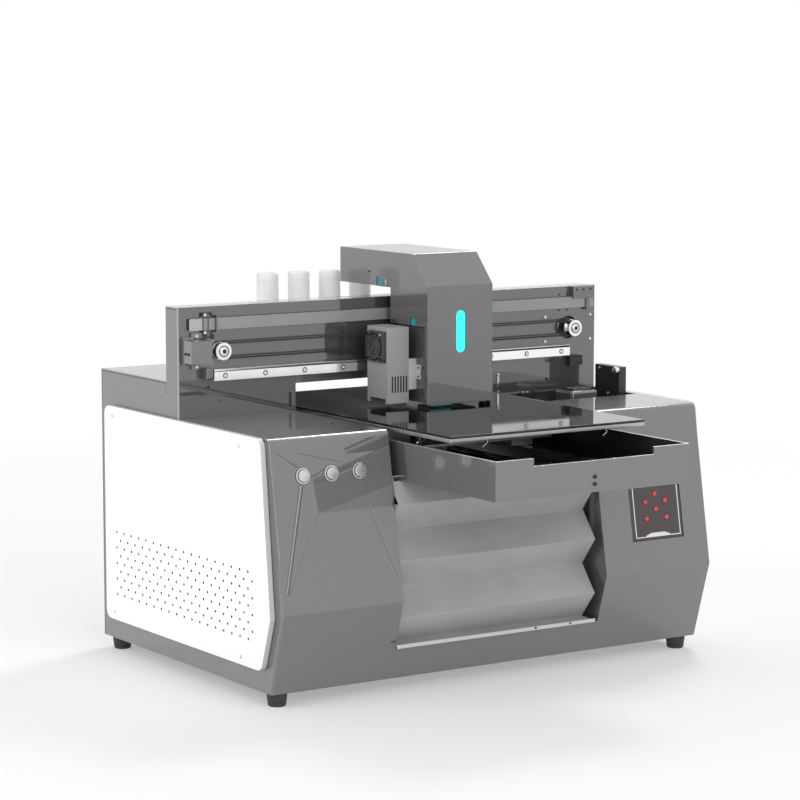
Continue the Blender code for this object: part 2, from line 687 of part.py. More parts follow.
def build_portal(paint):
    """The portal's front plate and its folded cover."""
    base = PAN_TOP + GAP
    shoulder = DECK_HEIGHT - SHEET
    outline = [(-INNER_HALF_WIDTH, base), (INNER_HALF_WIDTH, base),
               (INNER_HALF_WIDTH, shoulder), (HALF_WIDTH, shoulder),
               (HALF_WIDTH, PORTAL_HEIGHT), (-HALF_WIDTH, PORTAL_HEIGHT),
               (-HALF_WIDTH, shoulder), (-INNER_HALF_WIDTH, shoulder)]
    holes = [rectangle((-PORTAL_OPENING_HALF, PORTAL_OPENING_BOTTOM),
                       (PORTAL_OPENING_HALF, BEAM_BOTTOM)),
             circle((MOTOR_X, PULLEY_Z), MOTOR_HOLE_RADIUS)]
    for sign in (-1.0, 1.0):
        centre = sign * PORTAL_SLOT_X
        holes.append(rectangle((centre - PORTAL_SLOT_WIDTH / 2.0, PORTAL_SLOT_BOTTOM),
                               (centre + PORTAL_SLOT_WIDTH / 2.0, PORTAL_SLOT_TOP)))
    prism("portal_plate", outline, (PORTAL_Y, PORTAL_Y + PORTAL_PLATE), "Y", paint, holes=holes)
    path = [(PORTAL_Y + PORTAL_PLATE + GAP, PORTAL_HEIGHT), (PORTAL_REAR_Y, PORTAL_HEIGHT),
            (PORTAL_REAR_Y, PORTAL_COVER_BOTTOM)]
    bent_sheet("portal_cover", path, HALF_WIDTH, SHEET, paint)


def build_x_rail(steel):
    """The X rail on the portal, drilled at a fixed pitch."""
    low, high = X_RAIL_CENTRE_Z - X_RAIL_HEIGHT / 2.0, X_RAIL_CENTRE_Z + X_RAIL_HEIGHT / 2.0
    count = int((X_RAIL_END - X_RAIL_START - X_RAIL_FIRST_HOLE) / X_RAIL_HOLE_PITCH) + 1
    holes = [circle((X_RAIL_START + X_RAIL_FIRST_HOLE + i * X_RAIL_HOLE_PITCH, X_RAIL_CENTRE_Z),
                    X_RAIL_HOLE_RADIUS, 12) for i in range(count)]
    prism("x_rail", rectangle((X_RAIL_START, low), (X_RAIL_END, high)),
          (X_RAIL_FRONT_Y, X_RAIL_BACK_Y), "Y", steel, holes=holes)


def pulley_profile(bore):
    """Return a flanged pulley's turned profile round its bore, front to back."""
    back, front = -PULLEY_WIDTH / 2.0, PULLEY_WIDTH / 2.0
    return [(bore, front), (PULLEY_FLANGE_RADIUS, front),
            (PULLEY_FLANGE_RADIUS, front - PULLEY_FLANGE),
            (PULLEY_GROOVE_RADIUS, front - PULLEY_FLANGE),
            (PULLEY_GROOVE_RADIUS, back + PULLEY_FLANGE),
            (PULLEY_FLANGE_RADIUS, back + PULLEY_FLANGE), (PULLEY_FLANGE_RADIUS, back),
            (bore, back)]


def build_x_drive(steel, dark, rubber, paint):
    """Idler bracket, motor, two pulleys and the toothed belt."""
    block_z = PULLEY_Z + OVERLAP
    block_end = IDLER_BLOCK_START + IDLER_BLOCK_LENGTH
    back = PORTAL_Y - GAP
    bracket = box("idler_bracket",
                  (IDLER_BLOCK_START, back - IDLER_BLOCK_DEPTH,
                   block_z - IDLER_BLOCK_HEIGHT / 2.0),
                  (block_end, back, block_z + IDLER_BLOCK_HEIGHT / 2.0), paint)
    flange_mid = IDLER_BLOCK_START + IDLER_BLOCK_LENGTH - OVERLAP
    flange = box("idler_flange_tool",
                 (flange_mid - IDLER_FLANGE_LENGTH / 2.0, back - IDLER_FLANGE,
                  block_z - IDLER_FLANGE_HEIGHT / 2.0),
                 (flange_mid + IDLER_FLANGE_LENGTH / 2.0, back,
                  block_z + IDLER_FLANGE_HEIGHT / 2.0))
    pad = box("idler_pad_tool",
              (flange_mid, back - IDLER_FLANGE, PULLEY_Z - PULLEY_GROOVE_RADIUS),
              (IDLER_X + PULLEY_GROOVE_RADIUS, back, PULLEY_Z + PULLEY_GROOVE_RADIUS))
    pin_front = PULLEY_FRONT_Y + PULLEY_FLANGE
    pin_back = back - IDLER_FLANGE / 2.0
    pin = cylinder("idler_pin_tool", (IDLER_X, (pin_front + pin_back) / 2.0, PULLEY_Z),
                   IDLER_PIN_RADIUS, pin_back - pin_front, "Y", steps=SMALL_STEPS)
    join(bracket, [flange, pad, pin])

    motor_front = PORTAL_Y + PORTAL_PLATE + GAP
    half = X_MOTOR_SIZE / 2.0
    motor = box("x_motor", (MOTOR_X - half, motor_front, PULLEY_Z - half),
                (MOTOR_X + half, motor_front + X_MOTOR_LENGTH, PULLEY_Z + half), dark)
    shaft_front = PULLEY_FRONT_Y + PULLEY_FLANGE
    shaft_back = motor_front + OVERLAP
    shaft = cylinder("x_motor_shaft_tool",
                     (MOTOR_X, (shaft_front + shaft_back) / 2.0, PULLEY_Z),
                     MOTOR_SHAFT_RADIUS, shaft_back - shaft_front, "Y", steps=SMALL_STEPS)
    join(motor, [shaft])

    turned("x_motor_pulley", pulley_profile(MOTOR_SHAFT_RADIUS + BORE_GAP), "Y",
           (MOTOR_X, PULLEY_MID_Y, PULLEY_Z), steel)
    turned("idler_pulley", pulley_profile(IDLER_PIN_RADIUS + BORE_GAP), "Y",
           (IDLER_X, PULLEY_MID_Y, PULLEY_Z), steel)
    belt_loop = []
    for radius in (BELT_RADIUS + BELT_THICKNESS, BELT_RADIUS):
        loop = []
        for centre, first in ((MOTOR_X, -90.0), (IDLER_X, 90.0)):
            for i in range(SMALL_STEPS // 2 + 1):
                turn = math.radians(first + 360.0 * i / SMALL_STEPS)
                loop.append((centre + radius * math.cos(turn), PULLEY_Z + radius * math.sin(turn)))
        belt_loop.append(loop)
    prism("x_belt", belt_loop[0],
          (PULLEY_MID_Y - BELT_WIDTH / 2.0, PULLEY_MID_Y + BELT_WIDTH / 2.0), "Y", rubber,
          holes=[belt_loop[1]])


# --- carriage -------------------------------------------------------------

def build_back_plate(metal):
    """The carriage's back plate with its rail slider, belt clamp and hood bar."""
    left = CARRIAGE_X - BACK_PLATE_WIDTH / 2.0
    right = CARRIAGE_X + BACK_PLATE_WIDTH / 2.0
    plate = box("carriage_plate", (left, BACK_PLATE_FRONT_Y, BACK_PLATE_BOTTOM),
                (right, BACK_PLATE_BACK_Y, BACK_PLATE_TOP), metal)
    half = SLIDER_HEIGHT / 2.0
    groove = X_RAIL_HEIGHT / 2.0 + GAP
    crown_y = X_RAIL_FRONT_Y - GAP
    lip_y = crown_y + SLIDER_LIP
    weld_y = BACK_PLATE_BACK_Y - OVERLAP
    section = [(weld_y, X_RAIL_CENTRE_Z - half), (lip_y, X_RAIL_CENTRE_Z - half),
               (lip_y, X_RAIL_CENTRE_Z - groove), (crown_y, X_RAIL_CENTRE_Z - groove),
               (crown_y, X_RAIL_CENTRE_Z + groove), (lip_y, X_RAIL_CENTRE_Z + groove),
               (lip_y, X_RAIL_CENTRE_Z + half), (weld_y, X_RAIL_CENTRE_Z + half)]
    slider = prism("slider_tool", section, (left + OVERLAP, right - OVERLAP), "X")
    belt_front = PULLEY_MID_Y - BELT_WIDTH / 2.0
    belt_z = PULLEY_Z - BELT_RADIUS - BELT_THICKNESS / 2.0
    clamp = box("belt_clamp_tool",
                (CARRIAGE_X - BELT_CLAMP_LENGTH / 2.0, weld_y, belt_z - BELT_CLAMP_HEIGHT / 2.0),
                (CARRIAGE_X + BELT_CLAMP_LENGTH / 2.0, belt_front - GAP,
                 belt_z + BELT_CLAMP_HEIGHT / 2.0))
    hood_bar = box("hood_bar_tool",
                   (CARRIAGE_LEFT + CARRIAGE_SHEET + GAP, BACK_PLATE_FRONT_Y, HOOD_BAR_BOTTOM),
                   (CARRIAGE_RIGHT - CARRIAGE_SHEET - GAP, BACK_PLATE_BACK_Y, BACK_PLATE_TOP))
    join(plate, [slider, clamp, hood_bar])


def carriage_outline(inset):
    """Return the hood's side outline, or its hollow for an inset above zero."""
    front, rear = PORTAL_Y - CARRIAGE_FRONT, PORTAL_Y + CARRIAGE_REAR
    knee_z = CARRIAGE_TOP - CARRIAGE_CHAMFER_HEIGHT
    upper = [(rear, CARRIAGE_HOOD_BOTTOM), (rear, CARRIAGE_TOP),
             (front + CARRIAGE_CHAMFER_DEPTH, CARRIAGE_TOP), (front, knee_z),
             (front, CARRIAGE_BOTTOM)]
    if inset > 0.0:
        below = CARRIAGE_BOTTOM - inset
        moved = offset_path(upper, -inset)
        moved[0] = (moved[0][0], below)
        moved[-1] = (moved[-1][0], below)
        return moved
    side_rear = PORTAL_Y - CARRIAGE_SIDE_REAR
    lower = [(front + CARRIAGE_RETURN, CARRIAGE_BOTTOM),
             (front + CARRIAGE_RETURN, CARRIAGE_SIDE_BOTTOM),
             (side_rear, CARRIAGE_SIDE_BOTTOM), (side_rear, CARRIAGE_HOOD_BOTTOM)]
    return upper + lower


def build_carriage_cover(paint):
    """The tall hood over the print head, hollow and open below."""
    cover = prism("carriage_cover", carriage_outline(0.0), (CARRIAGE_LEFT, CARRIAGE_RIGHT), "X",
                  paint)
    hollow = prism("hood_cutter", carriage_outline(CARRIAGE_SHEET),
                   (CARRIAGE_LEFT + CARRIAGE_SHEET, CARRIAGE_RIGHT - CARRIAGE_SHEET), "X")
    boolean(cover, [hollow])


def build_print_head(dark):
    """The print head block between the hood and the back plate, with a nozzle foot."""
    rear = BACK_PLATE_FRONT_Y - GAP
    step = 0.006
    head = box("print_head", (HEAD_LEFT, rear - HEAD_DEPTH, HEAD_BOTTOM + step),
               (HEAD_LEFT + HEAD_WIDTH, rear, HEAD_TOP), dark)
    foot = box("nozzle_tool", (HEAD_LEFT + step, rear - HEAD_DEPTH + step, HEAD_BOTTOM),
               (HEAD_LEFT + HEAD_WIDTH - step, rear - step, HEAD_BOTTOM + step + OVERLAP))
    join(head, [foot])


def build_lamp(metal, dark, blade):
    """The curing lamp's housing with its bracket, fan frame and rotor."""
    left = CARRIAGE_X - LAMP_LEFT
    right = left + LAMP_WIDTH
    front = PORTAL_Y - LAMP_FRONT
    rear = front + LAMP_DEPTH
    mid_y = (front + rear) / 2.0
    housing = box("lamp_housing", (left, front, LAMP_BOTTOM), (right, rear, LAMP_TOP), metal)
    hollow = box("lamp_cutter",
                 (left + LAMP_SHEET, front + LAMP_SHEET, LAMP_BOTTOM - LAMP_SHEET),
                 (right - LAMP_SHEET, rear - LAMP_SHEET, LAMP_TOP - LAMP_SHEET))
    notch = box("lamp_notch_cutter",
                (left - LAMP_SHEET, front + 3.0 * LAMP_SHEET, LAMP_BOTTOM - LAMP_SHEET),
                (left + 2.0 * LAMP_SHEET, rear - 3.0 * LAMP_SHEET,
                 LAMP_BOTTOM + LAMP_NOTCH_HEIGHT))
    half = FAN_SIZE / 2.0
    window = box("fan_window_cutter",
                 (left - LAMP_SHEET, mid_y - half - GAP, FAN_CENTRE_Z - half - GAP),
                 (left + 2.0 * LAMP_SHEET, mid_y + half + GAP, FAN_CENTRE_Z + half + GAP))
    bracket_y = PORTAL_Y - LAMP_BRACKET_FRONT
    bracket = box("lamp_bracket_tool",
                  (right - OVERLAP, bracket_y, LAMP_BRACKET_BOTTOM),
                  (HEAD_LEFT - GAP, bracket_y + LAMP_BRACKET_DEPTH, LAMP_BRACKET_TOP))
    boolean(housing, [hollow, notch, window])
    join(housing, [bracket])

    outer_x = left - FAN_PROUD
    square = rectangle((mid_y - half, FAN_CENTRE_Z - half), (mid_y + half, FAN_CENTRE_Z + half))
    frame = prism("fan_frame", fillet(square, [FAN_CORNER_RADIUS] * len(square)),
                  (outer_x, outer_x + FAN_THICKNESS), "X", dark,
                  holes=[circle((mid_y, FAN_CENTRE_Z), FAN_BORE_RADIUS, ROUND_STEPS)])
    middle = (mid_y, FAN_CENTRE_Z)
    grill_span = (outer_x, outer_x + FAN_GRILL)
    grill = [prism(f"grill_ring_tool_{n}", circle(middle, radius, ROUND_STEPS), grill_span, "X",
                   holes=[circle(middle, radius - FAN_RING_WIDTH, ROUND_STEPS)])
             for n, radius in enumerate(FAN_RING_RADII, 1)]
    grill.append(cylinder("grill_hub_tool", (outer_x + FAN_GRILL / 2.0, *middle),
                          FAN_HUB_RADIUS, FAN_GRILL, "X"))
    reach = FAN_BORE_RADIUS + OVERLAP
    thin = FAN_RING_WIDTH / 2.0
    grill.append(box("grill_bar_tool_1", (grill_span[0], mid_y - reach, FAN_CENTRE_Z - thin),
                     (grill_span[1], mid_y + reach, FAN_CENTRE_Z + thin)))
    grill.append(box("grill_bar_tool_2", (grill_span[0], mid_y - thin, FAN_CENTRE_Z - reach),
                     (grill_span[1], mid_y + thin, FAN_CENTRE_Z + reach)))
    pin_end = outer_x + FAN_THICKNESS - OVERLAP
    grill.append(cylinder("fan_pin_tool", ((outer_x + pin_end) / 2.0, *middle),
                          FAN_SHAFT_RADIUS, pin_end - outer_x, "X", steps=SMALL_STEPS))
    join(frame, grill)

    rotor_span = (outer_x + FAN_GRILL + GAP, outer_x + FAN_THICKNESS - GAP)
    rotor_x = sum(rotor_span) / 2.0
    depth = rotor_span[1] - rotor_span[0]
    bore = FAN_SHAFT_RADIUS + BORE_GAP
    rotor = turned("fan_rotor", [(bore, depth / 2.0), (FAN_HUB_RADIUS, depth / 2.0),
                                 (FAN_HUB_RADIUS, -depth / 2.0), (bore, -depth / 2.0)],
                   "X", (rotor_x, *middle), blade)
    blades = []
    tip = FAN_BORE_RADIUS - 2.0 * GAP
    root = FAN_HUB_RADIUS - OVERLAP
    chord = depth * 0.9
    for number in range(FAN_BLADES):
        builder = bmesh.new()
        bmesh.ops.create_cube(builder, size=1.0)
        bmesh.ops.scale(builder, vec=(FAN_BLADE_THICKNESS, chord, tip - root),
                        verts=builder.verts)
        twist = Matrix.Rotation(math.radians(90.0 - FAN_BLADE_PITCH), 4, "Z")
        bmesh.ops.transform(builder, matrix=twist, verts=builder.verts)
        bmesh.ops.translate(builder, vec=(0.0, 0.0, (tip + root) / 2.0), verts=builder.verts)
        spin = Matrix.Rotation(2.0 * math.pi * number / FAN_BLADES, 4, "X")
        bmesh.ops.transform(builder, matrix=spin, verts=builder.verts)
        blades.append(mesh_object(f"blade_tool_{number + 1}", builder, None,
                                  (rotor_x, *middle)))
    join(rotor, blades)


# --- service bay ----------------------------------------------------------

def build_service_bay(metal, dark, soft):
    """The shelf with its end guard, the capping station and the lifting cap."""
    back = PORTAL_Y - GAP
    floor = SHELF_HEIGHT + SHELF_THICKNESS
    shelf = box("service_shelf", (BAY_LEFT, PORTAL_Y - BAY_FRONT, SHELF_HEIGHT),
                (BAY_RIGHT, back, floor), metal)
    guard_front = PORTAL_Y - GUARD_FRONT
    guard = box("guard_tool", (BAY_RIGHT - GUARD_THICKNESS, guard_front, floor - OVERLAP),
                (BAY_RIGHT, guard_front + GUARD_DEPTH, GUARD_TOP))
    join(shelf, [guard])

    front = PORTAL_Y - STATION_FRONT
    right = STATION_LEFT + STATION_WIDTH
    rear = front + STATION_DEPTH
    station = box("cap_station", (STATION_LEFT, front, floor + GAP), (right, rear, STATION_TOP),
                  dark)
    rim = station.modifiers.new("rim", "BEVEL")
    rim.width = STATION_CHAMFER
    rim.segments = 1
    mid = ((STATION_LEFT + right) / 2.0, (front + rear) / 2.0)
    cap_top = STATION_TOP + CAP_PROUD
    cap_bottom = cap_top - CAP_HEIGHT
    half = (CAP_WIDTH / 2.0, CAP_DEPTH / 2.0)
    well = box("cap_well_cutter",
               (mid[0] - half[0] - GAP, mid[1] - half[1] - GAP,
                cap_bottom - CAP_TRAVEL_DOWN - GAP),
               (mid[0] + half[0] + GAP, mid[1] + half[1] + GAP, STATION_TOP + CAP_PROUD))
    boolean(station, [well])
    box("cap_pad", (mid[0] - half[0], mid[1] - half[1], cap_bottom),
        (mid[0] + half[0], mid[1] + half[1], cap_top), soft)


# --- bed ------------------------------------------------------------------

def build_tray(paint):
    """The trough that carries the Y slide, with its two lift arms."""
    half = TRAY_HALF_WIDTH
    tray = box("bed_tray", (-half, TRAY_FRONT_Y, TRAY_BOTTOM), (half, TRAY_REAR_Y, TRAY_TOP),
               paint)
    hollow = box("tray_cutter", (TRAY_WALL - half, TRAY_FRONT_Y + TRAY_WALL, TRAY_FLOOR),
                 (half - TRAY_WALL, TRAY_REAR_Y - TRAY_WALL, TRAY_TOP + TRAY_WALL))
    notch = box("tray_notch_cutter",
                (-TRAY_NOTCH_HALF, TRAY_FRONT_Y - TRAY_WALL, TRAY_TOP - TRAY_NOTCH_DEPTH),
                (TRAY_NOTCH_HALF, TRAY_FRONT_Y + 2.0 * TRAY_WALL, TRAY_TOP + TRAY_WALL))
    cutters = [hollow, notch]
    for number, drop in enumerate(TRAY_HOLE_DROPS, 1):
        cutters.append(cylinder(f"tray_hole_cutter_{number}",
                                (0.0, TRAY_FRONT_Y, TRAY_TOP - drop), TRAY_HOLE_RADIUS,
                                4.0 * TRAY_WALL, "Y", steps=SMALL_STEPS))
    arm_end = LIFT_ROD_X + LIFT_ARM_END
    arm = box("lift_arm_tool",
              (-arm_end, LIFT_AXIS_Y - LIFT_ARM_DEPTH / 2.0, TRAY_BOTTOM - LIFT_ARM_THICKNESS),
              (arm_end, LIFT_AXIS_Y + LIFT_ARM_DEPTH / 2.0, TRAY_BOTTOM + OVERLAP))
    join(tray, [arm])
    for side, sign in (("left", -1.0), ("right", 1.0)):
        for kind, x in (("screw", LIFT_SCREW_X), ("rod", LIFT_ROD_X)):
            cutters.append(cylinder(f"{side}_{kind}_bore_cutter",
                                    (sign * x, LIFT_AXIS_Y, TRAY_BOTTOM),
                                    LIFT_SHAFT_RADIUS + BORE_GAP, 4.0 * LIFT_ARM_THICKNESS,
                                    "Z"))
    boolean(tray, cutters)


def build_y_rails(steel):
    """Two rails on the tray's floor."""
    start = TRAY_FRONT_Y + (TRAY_LENGTH - Y_RAIL_LENGTH) / 2.0
    count = int(Y_RAIL_LENGTH / Y_RAIL_HOLE_PITCH)
    first = start + (Y_RAIL_LENGTH - (count - 1) * Y_RAIL_HOLE_PITCH) / 2.0
    bottom = TRAY_FLOOR + GAP
    for side, sign in (("left", -1.0), ("right", 1.0)):
        x = sign * Y_RAIL_X
        holes = [circle((x, first + i * Y_RAIL_HOLE_PITCH), X_RAIL_HOLE_RADIUS, 12)
                 for i in range(count)]
        prism(f"y_rail_{side}",
              rectangle((x - Y_RAIL_WIDTH / 2.0, start),
                        (x + Y_RAIL_WIDTH / 2.0, start + Y_RAIL_LENGTH)),
              (bottom, bottom + Y_RAIL_HEIGHT), "Z", steel, holes=holes)


def build_y_drive(steel, dark):
    """The Y motor at the tray's rear and the screw that it turns."""
    half = Y_MOTOR_SIZE / 2.0
    motor_rear = TRAY_REAR_Y - TRAY_WALL - GAP
    motor_front = motor_rear - Y_MOTOR_LENGTH
    box("y_motor", (-half, motor_front, Y_AXIS_Z - half), (half, motor_rear, Y_AXIS_Z + half),
        dark)
    screw_front = TRAY_FRONT_Y + TRAY_WALL + GAP
    screw_rear = motor_front - GAP
    cylinder("y_screw", (0.0, (screw_front + screw_rear) / 2.0, Y_AXIS_Z), Y_SCREW_RADIUS,
             screw_rear - screw_front, "Y", steel, steps=SMALL_STEPS)


def build_y_slide(metal):
    """The plate on four blocks, with the nut below and four posts above."""
    half = Y_SLIDE_LENGTH / 2.0
    top = Y_SLIDE_BOTTOM + Y_SLIDE_THICKNESS
    slide = box("y_slide", (-Y_SLIDE_HALF_WIDTH, BED_CENTRE_Y - half, Y_SLIDE_BOTTOM),
                (Y_SLIDE_HALF_WIDTH, BED_CENTRE_Y + half, top), metal)
    weld = Y_SLIDE_BOTTOM + OVERLAP
    rail_top = TRAY_FLOOR + GAP + Y_RAIL_HEIGHT
    frame_bottom = BED_TOP - GLASS_THICKNESS - GAP - BED_FRAME_THICKNESS
    tools = []
    for column, sign in (("left", -1.0), ("right", 1.0)):
        for row, way in (("front", -1.0), ("rear", 1.0)):
            x = sign * Y_RAIL_X
            y = BED_CENTRE_Y + way * Y_BLOCK_SPACING / 2.0
            tools.append(box(f"slide_block_tool_{row}_{column}",
                             (x - Y_BLOCK_WIDTH / 2.0, y - Y_BLOCK_LENGTH / 2.0, rail_top + GAP),
                             (x + Y_BLOCK_WIDTH / 2.0, y + Y_BLOCK_LENGTH / 2.0, weld)))
            post_top = frame_bottom - GAP
            post_low = top - OVERLAP
            tools.append(cylinder(f"slide_post_tool_{row}_{column}",
                                  (sign * Y_POST_X, BED_CENTRE_Y + way * Y_POST_SPACING / 2.0,
                                   (post_top + post_low) / 2.0),
                                  Y_POST_RADIUS, post_top - post_low, "Z", steps=SMALL_STEPS))
    nut_bottom = Y_AXIS_Z - Y_NUT_WIDTH / 2.0
    tools.append(box("slide_nut_tool",
                     (-Y_NUT_WIDTH / 2.0, BED_CENTRE_Y - Y_NUT_LENGTH / 2.0, nut_bottom),
                     (Y_NUT_WIDTH / 2.0, BED_CENTRE_Y + Y_NUT_LENGTH / 2.0, weld)))
    join(slide, tools)
    bore = cylinder("slide_nut_cutter", (0.0, BED_CENTRE_Y, Y_AXIS_Z), Y_SCREW_RADIUS + BORE_GAP,
                    2.0 * Y_NUT_LENGTH, "Y", steps=SMALL_STEPS)
    boolean(slide, [bore])


def build_bed(metal, glass):
    """The bed's frame and the glass on it."""
    half = BED_LENGTH / 2.0
    glass_bottom = BED_TOP - GLASS_THICKNESS
    frame_top = glass_bottom - GAP
    box("bed_frame", (-BED_HALF_WIDTH, BED_CENTRE_Y - half, frame_top - BED_FRAME_THICKNESS),
        (BED_HALF_WIDTH, BED_CENTRE_Y + half, frame_top), metal)
    box("glass_bed", (-BED_HALF_WIDTH, BED_CENTRE_Y - half, glass_bottom),
        (BED_HALF_WIDTH, BED_CENTRE_Y + half, BED_TOP), glass)


def build_lift(steel, dark):
    """Two lift screws, two guide rods and the lift motor, inside the towers."""
    low = PAN_TOP + GAP
    high = TOWER_HEIGHT - SHEET - LIFT_SHAFT_HEAD
    for kind, x in (("lift_screw", LIFT_SCREW_X), ("guide_rod", LIFT_ROD_X)):
        for side, sign in (("left", -1.0), ("right", 1.0)):
            cylinder(f"{kind}_{side}", (sign * x, LIFT_AXIS_Y, (low + high) / 2.0),
                     LIFT_SHAFT_RADIUS, high - low, "Z", steel, steps=SMALL_STEPS)
    half = LIFT_MOTOR_SIZE / 2.0
    box("lift_motor", (LIFT_MOTOR_X - half, LIFT_AXIS_Y - half, low),
        (LIFT_MOTOR_X + half, LIFT_AXIS_Y + half, low + LIFT_MOTOR_HEIGHT), dark)


def build_bellows(fabric):
    """The folding dust cover between the front sill and the tray's underside."""
    ridge, valley = KNEE_Y + BELLOWS_RIDGE, KNEE_Y + BELLOWS_VALLEY
    top = TRAY_BOTTOM - GAP
    folds = int((top - BELLOWS_BOTTOM) / BELLOWS_FOLD)
    path = [(valley - BELLOWS_LIP, BELLOWS_BOTTOM), (valley, BELLOWS_BOTTOM + BELLOWS_FABRIC)]
    for number in range(1, folds + 1):
        path.append((ridge if number % 2 else valley, BELLOWS_BOTTOM + number * BELLOWS_FOLD))
    path.append(((ridge + valley) / 2.0, top))
    wall = offset_path(path, BELLOWS_FABRIC)
    wall[-1] = (wall[-1][0], top)
    prism("bellows", path + wall[::-1], (-BELLOWS_LEFT, BELLOWS_RIGHT), "X", fabric)


# --- controls -------------------------------------------------------------

def build_controls(console_paint, key_red, steel, slant):
    """Three push buttons, the recessed console and its six keys."""
    for number, x in enumerate(BUTTON_XS, 1):
        middle = BUTTON_PROUD - BUTTON_LENGTH / 2.0
        cylinder(f"push_button_{number}", (x, BUTTON_ALONG, middle), BUTTON_RADIUS,
                 BUTTON_LENGTH, "Z", steel, slant, SMALL_STEPS)
    half_w, half_h = CONSOLE_WIDTH / 2.0 - GAP, CONSOLE_HEIGHT / 2.0 - GAP
    console = box("control_panel",
                  (CONSOLE_X - half_w, CONSOLE_ALONG - half_h, -CONSOLE_DEPTH),
                  (CONSOLE_X + half_w, CONSOLE_ALONG + half_h, -CONSOLE_RECESS),
                  console_paint, slant)
    flange_top = -SHEET - GAP
    flange = box("console_flange_tool",
                 (CONSOLE_X - half_w - CONSOLE_FLANGE, CONSOLE_ALONG - half_h - CONSOLE_FLANGE,
                  flange_top - CONSOLE_FLANGE_THICKNESS),
                 (CONSOLE_X + half_w + CONSOLE_FLANGE, CONSOLE_ALONG + half_h + CONSOLE_FLANGE,
                  flange_top), parent=slant)
    join(console, [flange])
    pockets = []
    for number, (dx, dy) in enumerate(KEY_PLACES, 1):
        place = (CONSOLE_X + dx, CONSOLE_ALONG + dy)
        key_top = KEY_PROUD - CONSOLE_RECESS
        key_low = key_top - KEY_LENGTH
        pocket_low = key_low - KEY_TRAVEL_ROOM
        pockets.append(cylinder(f"key_cutter_{number}", (*place, (pocket_low + key_top) / 2.0),
                                KEY_RADIUS + BORE_GAP, key_top - pocket_low, "Z", parent=slant,
                                steps=12))
        cylinder(f"key_{number}", (*place, (key_low + key_top) / 2.0), KEY_RADIUS, KEY_LENGTH,
                 "Z", key_red, slant, 12)
    boolean(console, pockets)


# --- ink ------------------------------------------------------------------

def build_ink(metal, white):
    """A folded rack behind the portal with a row of ink bottles."""
    last = BOTTLE_FIRST_X + (BOTTLE_COUNT - 1) * BOTTLE_PITCH
    left = BOTTLE_FIRST_X - BOTTLE_RADIUS - RACK_MARGIN
    right = last + BOTTLE_RADIUS + RACK_MARGIN
    back = PORTAL_REAR_Y + GAP
    edge = PORTAL_Y + BOTTLE_BEHIND + BOTTLE_RADIUS + RACK_MARGIN
    low = RACK_HEIGHT - RACK_SHEET
    section = [(back, low), (edge, low), (edge, RACK_HEIGHT + RACK_LIP),
               (edge - RACK_SHEET, RACK_HEIGHT + RACK_LIP), (edge - RACK_SHEET, RACK_HEIGHT),
               (back + RACK_SHEET, RACK_HEIGHT),
               (back + RACK_SHEET, RACK_HEIGHT + RACK_FLANGE_HEIGHT),
               (back, RACK_HEIGHT + RACK_FLANGE_HEIGHT)]
    prism("ink_rack", section, (left, right), "X", metal)
    foot = RACK_HEIGHT + GAP
    shoulder = BOTTLE_TOP - BOTTLE_CAP_HEIGHT
    profile = [(0.0, BOTTLE_TOP - foot), (BOTTLE_CAP_RADIUS, BOTTLE_TOP - foot),
               (BOTTLE_CAP_RADIUS, shoulder - foot), (BOTTLE_RADIUS, shoulder - foot),
               (BOTTLE_RADIUS, 0.0), (0.0, 0.0)]
    for number in range(BOTTLE_COUNT):
        x = BOTTLE_FIRST_X + number * BOTTLE_PITCH
        turned(f"ink_bottle_{number + 1}", profile, "Z", (x, PORTAL_Y + BOTTLE_BEHIND, foot),
               white, steps=SMALL_STEPS)


clear_scene()
PARTS = new_collection(PARTS_NAME)
TOOLS = new_collection(TOOLS_NAME)

GREY = new_material("body_grey", (0.20, 0.20, 0.20), 0.22)
WHITE = new_material("panel_white", (0.85, 0.85, 0.86), 0.25)
RUBBER = new_material("black_rubber", (0.03, 0.03, 0.03), 0.7)
DARK = new_material("dark_plastic", (0.05, 0.05, 0.05), 0.4)
STEEL = new_material("polished_steel", (0.80, 0.80, 0.82), 0.2, 1.0)
ALUMINIUM = new_material("aluminium", (0.45, 0.45, 0.46), 0.35, 1.0)
GLASS = new_material("black_glass", (0.01, 0.01, 0.01), 0.05)
FABRIC = new_material("grey_fabric", (0.38, 0.38, 0.38), 0.45)
CONSOLE = new_material("console_brown", (0.07, 0.06, 0.06), 0.4)
KEY_RED = new_material("key_red", (0.75, 0.08, 0.06), 0.3)
BOTTLE = new_material("bottle_white", (0.85, 0.87, 0.88), 0.2)

SLANT = slant_frame()
build_base(GREY)
build_feet(RUBBER)
build_side_plates(GREY)
build_side_panels(WHITE)
build_front_cover(GREY, SLANT)
build_channel_walls(GREY)
build_rear_covers(GREY)
build_portal(GREY)
build_x_rail(STEEL)
build_x_drive(STEEL, DARK, RUBBER, GREY)
build_back_plate(ALUMINIUM)
build_carriage_cover(GREY)
build_print_head(DARK)
build_lamp(ALUMINIUM, DARK, RUBBER)
build_service_bay(DARK, GREY, RUBBER)
build_tray(GREY)
build_y_rails(STEEL)
build_y_drive(STEEL, DARK)
build_y_slide(ALUMINIUM)
build_bed(ALUMINIUM, GLASS)
build_lift(STEEL, DARK)
build_bellows(FABRIC)
build_controls(CONSOLE, KEY_RED, STEEL, SLANT)
build_ink(ALUMINIUM, BOTTLE)
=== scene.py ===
"""Looks for a desktop flatbed UV printer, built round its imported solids.

Each sub-assembly is a class that models its pieces and dresses them, and each
finish is a class that makes one material.
"""

import json
import logging
import math
from dataclasses import dataclass, field
from enum import Enum
from typing import Callable, Iterable, Sequence

import bpy
from mathutils import Euler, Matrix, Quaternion, Vector

